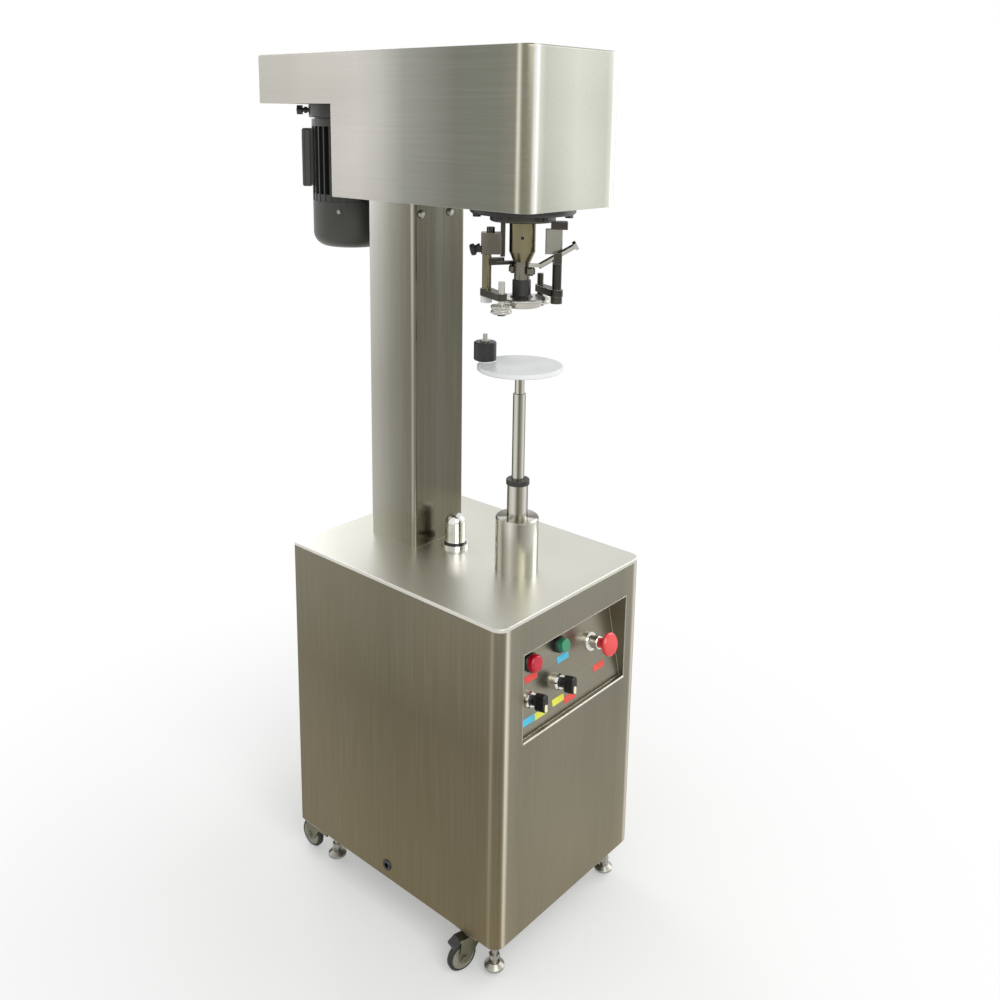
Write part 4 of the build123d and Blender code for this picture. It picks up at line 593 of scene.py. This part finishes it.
HEAD_TURN = math.radians(-50.2)
ANY = (-math.inf, math.inf)
BARREL_PLACE = (-60, 0)
BARREL_RADIUS = 9
BARREL_BOTTOM = 1194
STEM_PLACE = (33, 53)
STEM_RADIUS = 6.2
ROLLER_HEIGHTS = (1181, 1194)
BRACKET_SPAN = (52, 68.5)
HUB_RADIUS = 20 * MM
HUB_BOTTOM = 1.18
COVER_BOLT_TOP = HOOD_LOW.z - 2 * MM
COVER_BOLT_REACH = 0.09


def in_head(point):
    """How far a point is along the line of the arm posts and aside of it, and its height."""
    x = (point.x - SPINDLE.x) / MM
    y = (point.y - SPINDLE.y) / MM
    along_posts = x * math.cos(HEAD_TURN) + y * math.sin(HEAD_TURN)
    aside = y * math.cos(HEAD_TURN) - x * math.sin(HEAD_TURN)
    return along_posts, aside, point.z / MM


def head_box(along_posts=ANY, aside=ANY, height=ANY):
    """Test for the faces whose middle lies between the limits, all three in millimetres."""
    limits = (along_posts, aside, height)

    def chosen(centre, normal):
        return all(low < place < high for place, (low, high) in zip(in_head(centre), limits))
    return chosen


def barrel_faces(centre, normal):
    along_posts, aside, height = in_head(centre)
    reach = math.hypot(along_posts - BARREL_PLACE[0], aside - BARREL_PLACE[1])
    return reach < BARREL_RADIUS and height > BARREL_BOTTOM


def stem_faces(centre, normal):
    along_posts, aside, height = in_head(centre)
    reach = math.hypot(abs(along_posts) - STEM_PLACE[0], abs(aside) - STEM_PLACE[1])
    return reach < STEM_RADIUS and not ROLLER_HEIGHTS[0] <= height <= ROLLER_HEIGHTS[1]


def rod_faces(centre, normal):
    along_posts = in_head(centre)[0]
    return ROD_BOX(centre, normal) and not BRACKET_SPAN[0] < along_posts < BRACKET_SPAN[1]


def chuck_hub_faces(centre, normal):
    return spindle_radius(centre) < HUB_RADIUS and centre.z > HUB_BOTTOM


def cover_bolt_faces(centre, normal):
    return centre.z < COVER_BOLT_TOP and spindle_radius(centre) < COVER_BOLT_REACH


KNOB_BOX = head_box(along_posts=(-math.inf, -71), height=(1235, math.inf))
PIN_CAP_BOX = head_box(along_posts=(-math.inf, 0), height=(-math.inf, 1181.4))
CLAMP_BOX = head_box(along_posts=(-71, -45), height=(1253, 1291))
BRACKET_BOX = head_box(along_posts=(38, math.inf), height=(1254, 1296.8))
ROD_BOX = head_box(aside=(-25, -7), height=(1234, math.inf))
SET_SCREW_BOX = head_box((-3.3, 3.3), (-math.inf, -18), (1279.7, 1286.3))

dress_faces("arm_hangers", BLACK_PLASTIC, KNOB_BOX)
dress_faces("arm_hangers", WHITE_PLASTIC, PIN_CAP_BOX)
dress_faces("arm_hangers", GREY_STEEL, CLAMP_BOX)
dress_faces("arm_hangers", PLATE_STEEL, BRACKET_BOX)
dress_faces("first_arm", BRONZE_STEEL, barrel_faces)
dress_faces("first_arm", BRIGHT_STEEL, stem_faces)
dress_faces("second_arm", BRIGHT_STEEL, rod_faces)
dress_faces("seaming_chuck", BLACK_IRON, chuck_hub_faces)
dress_faces("seaming_cone", BLACK_IRON, SET_SCREW_BOX)
dress_faces("frame_bolts", BLACK_IRON, cover_bolt_faces)


# Casters

PEDAL_START = 39.5 * MM
SWIVEL_SIDE = 170 * MM
SWIVEL_AHEAD = 40 * MM
HUB_REACH = 22.5 * MM


def pedal_faces(corner):
    """Faces of a front fork that lie beyond its cheeks, where only the brake pedal is."""
    foot = box_middle("levelling_foot_" + corner)
    swivel = Vector((math.copysign(SWIVEL_SIDE, foot.x), foot.y + SWIVEL_AHEAD, 0))
    wheel = box_middle("caster_wheel_" + corner)
    heading = Vector((wheel.x - swivel.x, wheel.y - swivel.y, 0)).normalized()
    return lambda centre, normal: (centre - swivel).dot(heading) > PEDAL_START


for corner in ("front_left", "front_right"):
    dress_faces("caster_fork_" + corner, BLACK_IRON, pedal_faces(corner))


def hub_faces(corner):
    middle = box_middle("caster_wheel_" + corner)
    return lambda centre, normal: (centre - middle).length < HUB_REACH


for corner in CORNERS:
    dress_faces("caster_wheel_" + corner, HUB, hub_faces(corner))


# Pieces of the scene's own

SHARP_ANGLE = math.radians(35)


def turned(mesh, profile, place, segments=40):
    """Body of revolution about the place's Z axis, from (radius, height) points."""
    turns = [2 * math.pi * index / segments for index in range(segments)]
    rings = []
    for radius, height in profile:
        if radius == 0:
            rings.append([mesh.verts.new(place @ Vector((0, 0, height)))])
            continue
        points = [Vector((radius * math.cos(turn), radius * math.sin(turn), height)) for turn in turns]
        rings.append([mesh.verts.new(place @ point) for point in points])
    for low, high in zip(rings, rings[1:]):
        for index in range(segments):
            following = (index + 1) % segments
            corners = [low[index % len(low)], low[following % len(low)]]
            corners += [high[following % len(high)], high[index % len(high)]]
            corners = list(dict.fromkeys(corners))
            if len(corners) > 2:
                mesh.faces.new(corners)


def slab(mesh, outline, place, thickness, rounding=0.0):
    """Plate with the outline's corners, drawn in the place's XY plane and raised along its Z."""
    base = [mesh.verts.new(place @ Vector((x, y, 0))) for x, y in outline]
    face = mesh.faces.new(base)
    raised = bmesh.ops.extrude_face_region(mesh, geom=[face])["geom"]
    corners = [item for item in raised if isinstance(item, bmesh.types.BMVert)]
    shift = place.to_3x3() @ Vector((0, 0, thickness))
    bmesh.ops.translate(mesh, verts=corners, vec=shift)
    if rounding:
        rim = [edge for edge in mesh.edges if all(corner in corners for corner in edge.verts)]
        bmesh.ops.bevel(mesh, geom=rim, offset=rounding, segments=3, profile=0.5, affect="EDGES")


def rounded_outline(width, height, radius, steps=6):
    points = []
    for quarter, (side, up) in enumerate(((1, 1), (-1, 1), (-1, -1), (1, -1))):
        for step in range(steps + 1):
            turn = math.pi / 2 * (quarter + step / steps)
            x = side * (width / 2 - radius) + radius * math.cos(turn)
            y = up * (height / 2 - radius) + radius * math.sin(turn)
            points.append((x, y))
    return points


def hexagon(radius):
    turns = [math.pi / 3 * side for side in range(6)]
    return [(radius * math.cos(turn), radius * math.sin(turn)) for turn in turns]


def make_piece(name, body, material, draw):
    mesh = bmesh.new()
    draw(mesh)
    bmesh.ops.recalc_face_normals(mesh, faces=mesh.faces)
    data = bpy.data.meshes.new(name)
    mesh.to_mesh(data)
    mesh.free()
    data.materials.append(material)
    piece = bpy.data.objects.new(name, data)
    bpy.context.scene.collection.objects.link(piece)
    for face in data.polygons:
        face.use_smooth = True
    data.set_sharp_from_angle(angle=SHARP_ANGLE)
    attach(piece, body)


def facing(point, normal, up):
    """Place with Z along the normal and Y towards up."""
    z = normal.normalized()
    x = up.cross(z).normalized()
    y = z.cross(x)
    place = Matrix((x, y, z)).transposed().to_4x4()
    place.translation = point
    return place


# Stickers: plain coloured plates where the panel carries its legends

PANEL_FACE = max(
    (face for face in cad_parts["control_panel"].data.polygons
     if face.normal.y < -0.9 and face.normal.z > 0.1),
    key=lambda face: face.area,
)
PANEL_NORMAL = PANEL_FACE.normal.copy()
PANEL_POINT = PANEL_FACE.center.copy()
PANEL_UP = Vector((0, PANEL_NORMAL.z, -PANEL_NORMAL.y))


def on_panel(x, z):
    """Place on the panel's sloping face, at a distance across and a height, both in millimetres."""
    rise = z * MM - PANEL_POINT.z
    point = Vector((x * MM, PANEL_POINT.y + rise * PANEL_UP.y / PANEL_UP.z, z * MM))
    return facing(point, PANEL_NORMAL, PANEL_UP)


STICKER_WIDTH = 33 * MM
STICKER_HEIGHT = 12 * MM
STICKER_THICKNESS = 0.3 * MM
RED_STICKER = moulded("red_sticker", colour(240, 88, 76), colour(226, 70, 60), (0.4, 0.5), 0.03, 0.05)
BLUE_STICKER = moulded(
    "blue_sticker", colour(86, 196, 226), colour(64, 176, 212), (0.4, 0.5), 0.03, 0.05
)
YELLOW_STICKER = moulded(
    "yellow_sticker", colour(232, 232, 84), colour(220, 218, 70), (0.4, 0.5), 0.03, 0.05
)
STICKERS = [
    ("lamp", RED_STICKER, -86, 541),
    ("start", BLUE_STICKER, 3, 542),
    ("stop", RED_STICKER, 98, 490),
    ("left_first", BLUE_STICKER, -108, 475),
    ("left_second", YELLOW_STICKER, -77, 474),
    ("right_first", YELLOW_STICKER, -26, 477),
    ("right_second", RED_STICKER, 6, 469),
]
STICKER_OUTLINE = rounded_outline(STICKER_WIDTH, STICKER_HEIGHT, 1 * MM)
for label, material, x, z in STICKERS:
    make_piece(
        "sticker_" + label, "root", material,
        lambda mesh: slab(mesh, STICKER_OUTLINE, on_panel(x, z), STICKER_THICKNESS),
    )


# Small pieces beside the part's own nodes

def bolt_place(point, direction):
    return facing(point, direction, Vector((0, 0, 1)))


def rounded_rod(mesh, start, end, radius):
    """Round rod between two points, with rounded ends."""
    length = (end - start).length
    inset = radius * 0.6
    profile = [
        (0, 0),
        (inset, radius * 0.1),
        (radius, inset),
        (radius, length - inset),
        (inset, length - radius * 0.1),
        (0, length),
    ]
    turned(mesh, profile, bolt_place(start, end - start), 20)


PANEL_LEFT = -140 * MM
PANEL_RIGHT = 155 * MM
PANEL_BOTTOM = 451 * MM
LIP_RADIUS = 2.0 * MM
LIP_OUT = 0.4 * MM
LIP_RISE = 0.6 * MM


def panel_lip(mesh):
    """Rolled edge along the foot of the panel's opening."""
    y = CABINET_LOW.y - LIP_OUT
    z = PANEL_BOTTOM + LIP_RISE
    rounded_rod(mesh, Vector((PANEL_LEFT, y, z)), Vector((PANEL_RIGHT, y, z)), LIP_RADIUS)


make_piece("panel_lip", "root", TABLE_STEEL, panel_lip)


SELECTOR_HEADING = math.radians(-105)
RIM_DEPTH = 0.3 * MM
MARK_OFFSET = 7.5 * MM
MARK_OUTLINE = rounded_outline(7 * MM, 12 * MM, 2 * MM)
MARK_THICKNESS = 0.5 * MM
MARK_ROUNDING = 0.2 * MM


def selector_mark(node):
    """Pale pointer on the lower end of a selector's lever."""
    places = [vertex.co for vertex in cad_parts[node].data.vertices]
    top = max(place.dot(PANEL_NORMAL) for place in places)
    rim = [place for place in places if place.dot(PANEL_NORMAL) > top - RIM_DEPTH]
    middle = sum(rim, Vector()) / len(rim)
    across = PANEL_UP.cross(PANEL_NORMAL)
    pointer = math.cos(SELECTOR_HEADING) * across + math.sin(SELECTOR_HEADING) * PANEL_UP
    place = facing(middle + pointer * MARK_OFFSET, PANEL_NORMAL, pointer)
    return lambda mesh: slab(mesh, MARK_OUTLINE, place, MARK_THICKNESS, MARK_ROUNDING)


for side in ("left", "right"):
    draw_mark = selector_mark("selector_" + side)
    make_piece("mark_" + side, side + "_selector", PALE_INLAY, draw_mark)

MOTOR = box_middle("motor_shaft")
MOTOR_RADIUS = 75 * MM
SCREW_HEADING = math.radians(-150.2)
SCREW_HEIGHT = 1300.6 * MM
SCREW_PROFILE = [(0, -1), (4.5, -1), (4.5, 1.2), (3.4, 2.4), (0, 2.9)]


def cover_screw(mesh):
    """Pan head of the screw that holds the fan cover on the motor."""
    out = Vector((math.cos(SCREW_HEADING), math.sin(SCREW_HEADING), 0))
    place = bolt_place(Vector((MOTOR.x, MOTOR.y, SCREW_HEIGHT)) + out * MOTOR_RADIUS, out)
    turned(mesh, [(radius * MM, height * MM) for radius, height in SCREW_PROFILE], place, 24)


make_piece("cover_screw", "root", ZINC_STEEL, cover_screw)

TENSION_HEADING = math.radians(131)
TENSION_HEIGHT = 1489 * MM
FLANGE_RADIUS = 80 * MM
SHANK_LENGTH = 22 * MM
SHANK_RADIUS = 4 * MM
SHANK_SUNK = 2 * MM
NUT_START = 6 * MM
NUT_RADIUS = 7 * MM
NUT_HEIGHT = 5 * MM
HEAD_START = 15 * MM
HEAD_RADIUS = 10 * MM
HEAD_HEIGHT = 10 * MM
HEAD_ROUNDING = 1 * MM


def tension_bolt(mesh):
    """Belt tension bolt beside the motor's flange, with its lock nut and hexagon head."""
    out = Vector((math.cos(TENSION_HEADING), math.sin(TENSION_HEADING), 0))
    start = Vector((MOTOR.x, MOTOR.y, TENSION_HEIGHT)) + out * (FLANGE_RADIUS - SHANK_SUNK)
    head_place = bolt_place(start + out * HEAD_START, out)
    rounded_rod(mesh, start, start + out * SHANK_LENGTH, SHANK_RADIUS)
    slab(mesh, hexagon(NUT_RADIUS), bolt_place(start + out * NUT_START, out), NUT_HEIGHT)
    slab(mesh, hexagon(HEAD_RADIUS), head_place, HEAD_HEIGHT, HEAD_ROUNDING)


make_piece("tension_bolt", "root", BLACK_IRON, tension_bolt)


# Floor, light and camera

FLOOR_SIZE = 9.0
FLOOR_GLOW = 0.30
FADE_DISTANCES = (0.4, 1.2)
AMBIENT_TINT = (0.97, 0.98, 1.0, 1)
AMBIENT_STRENGTH = 0.55
MIDDLE = Vector((0, 0, 0.9))


def floor_material():
    """Pale floor that fades to white away from the machine and keeps its shadow near it."""
    material, tree = new_material("pale_floor")
    place = add(tree, "ShaderNodeTexCoord").outputs["Object"]
    distance = add(tree, "ShaderNodeVectorMath", {0: place}, operation="LENGTH").outputs["Value"]
    fade = remap(tree, distance, FLOOR_GLOW, 1.0, *FADE_DISTANCES)
    speckle = noise(tree, 40)
    tint = mixed(tree, remap(tree, speckle, 0.0, 0.3), colour(244, 244, 242), colour(238, 238, 236))
    ground = add(tree, "ShaderNodeBsdfDiffuse", {"Color": tint}).outputs["BSDF"]
    white = add(tree, "ShaderNodeEmission", {"Color": (1, 1, 1, 1), "Strength": 1.0})
    blended = add(tree, "ShaderNodeMixShader", {0: fade, 1: ground, 2: white.outputs["Emission"]})
    finish_material(tree, blended.outputs["Shader"])
    return material


def make_floor():
    data = bpy.data.meshes.new("floor")
    mesh = bmesh.new()
    bmesh.ops.create_grid(mesh, x_segments=8, y_segments=8, size=FLOOR_SIZE)
    mesh.to_mesh(data)
    mesh.free()
    data.materials.append(floor_material())
    floor = bpy.data.objects.new("floor", data)
    floor.location.z = FLOOR - 0.5 * MM
    bpy.context.scene.collection.objects.link(floor)


def make_world():
    """White where the camera and reflections look, a softer grey where it lights the machine."""
    world = bpy.data.worlds.new("studio")
    bpy.context.scene.world = world
    world.use_nodes = True
    tree = world.node_tree
    tree.nodes.clear()
    path = add(tree, "ShaderNodeLightPath").outputs
    seen = path["Is Camera Ray"]
    for kind in ("Is Glossy Ray", "Is Transmission Ray"):
        seen = add(tree, "ShaderNodeMath", {0: seen, 1: path[kind]}, operation="MAXIMUM").outputs[0]
    ambient = add(tree, "ShaderNodeBackground", {"Color": AMBIENT_TINT, "Strength": AMBIENT_STRENGTH})
    white = add(tree, "ShaderNodeBackground", {"Color": (1, 1, 1, 1), "Strength": 1.0})
    mix = add(tree, "ShaderNodeMixShader", {
        0: seen, 1: ambient.outputs["Background"], 2: white.outputs["Background"],
    })
    output = add(tree, "ShaderNodeOutputWorld")
    tree.links.new(mix.outputs["Shader"], output.inputs["Surface"])


def make_lamp(name, place, size, power):
    """Soft lamp that looks at the machine's middle."""
    lamp = bpy.data.lights.new(name, "AREA")
    lamp.shape = "RECTANGLE"
    lamp.size, lamp.size_y = size
    lamp.energy = power
    holder = bpy.data.objects.new(name, lamp)
    holder.location = place
    holder.rotation_euler = (MIDDLE - Vector(place)).to_track_quat("-Z", "Y").to_euler()
    bpy.context.scene.collection.objects.link(holder)


def make_camera():
    camera = bpy.data.cameras.new("camera")
    camera.sensor_width = SENSOR_WIDTH
    camera.lens = FOCAL_PIXELS / IMAGE_SIZE * SENSOR_WIDTH
    camera.shift_y = (OPTICAL_AXIS_ROW - IMAGE_SIZE / 2) / IMAGE_SIZE
    camera.clip_end = CLIP_END
    forward = Vector((
        math.sin(CAMERA_YAW) * math.cos(CAMERA_PITCH),
        math.cos(CAMERA_YAW) * math.cos(CAMERA_PITCH),
        math.sin(CAMERA_PITCH),
    ))
    level = Vector((math.cos(CAMERA_YAW), -math.sin(CAMERA_YAW), 0))
    upright = level.cross(forward)
    right = math.cos(CAMERA_ROLL) * level + math.sin(CAMERA_ROLL) * upright
    up = math.cos(CAMERA_ROLL) * upright - math.sin(CAMERA_ROLL) * level
    matrix = Matrix((right, up, -forward)).transposed().to_4x4()
    matrix.translation = Vector((SPINDLE.x, SPINDLE.y, 0)) + CAMERA_FROM_SPINDLE
    holder = bpy.data.objects.new("camera", camera)
    bpy.context.scene.collection.objects.link(holder)
    holder.matrix_world = matrix
    bpy.context.scene.camera = holder


make_floor()
make_world()
make_lamp("key_light", (-1.2, -2.6, 2.8), (2.2, 2.2), 60)
make_lamp("side_light", (-2.2, 3.4, 2.2), (2.0, 2.4), 10)
make_lamp("right_light", (2.6, -1.2, 2.0), (1.8, 2.4), 30)
make_lamp("back_light", (0.6, 2.8, 2.4), (2.2, 1.8), 30)
make_camera()
bpy.context.scene.view_settings.view_transform = "Standard"
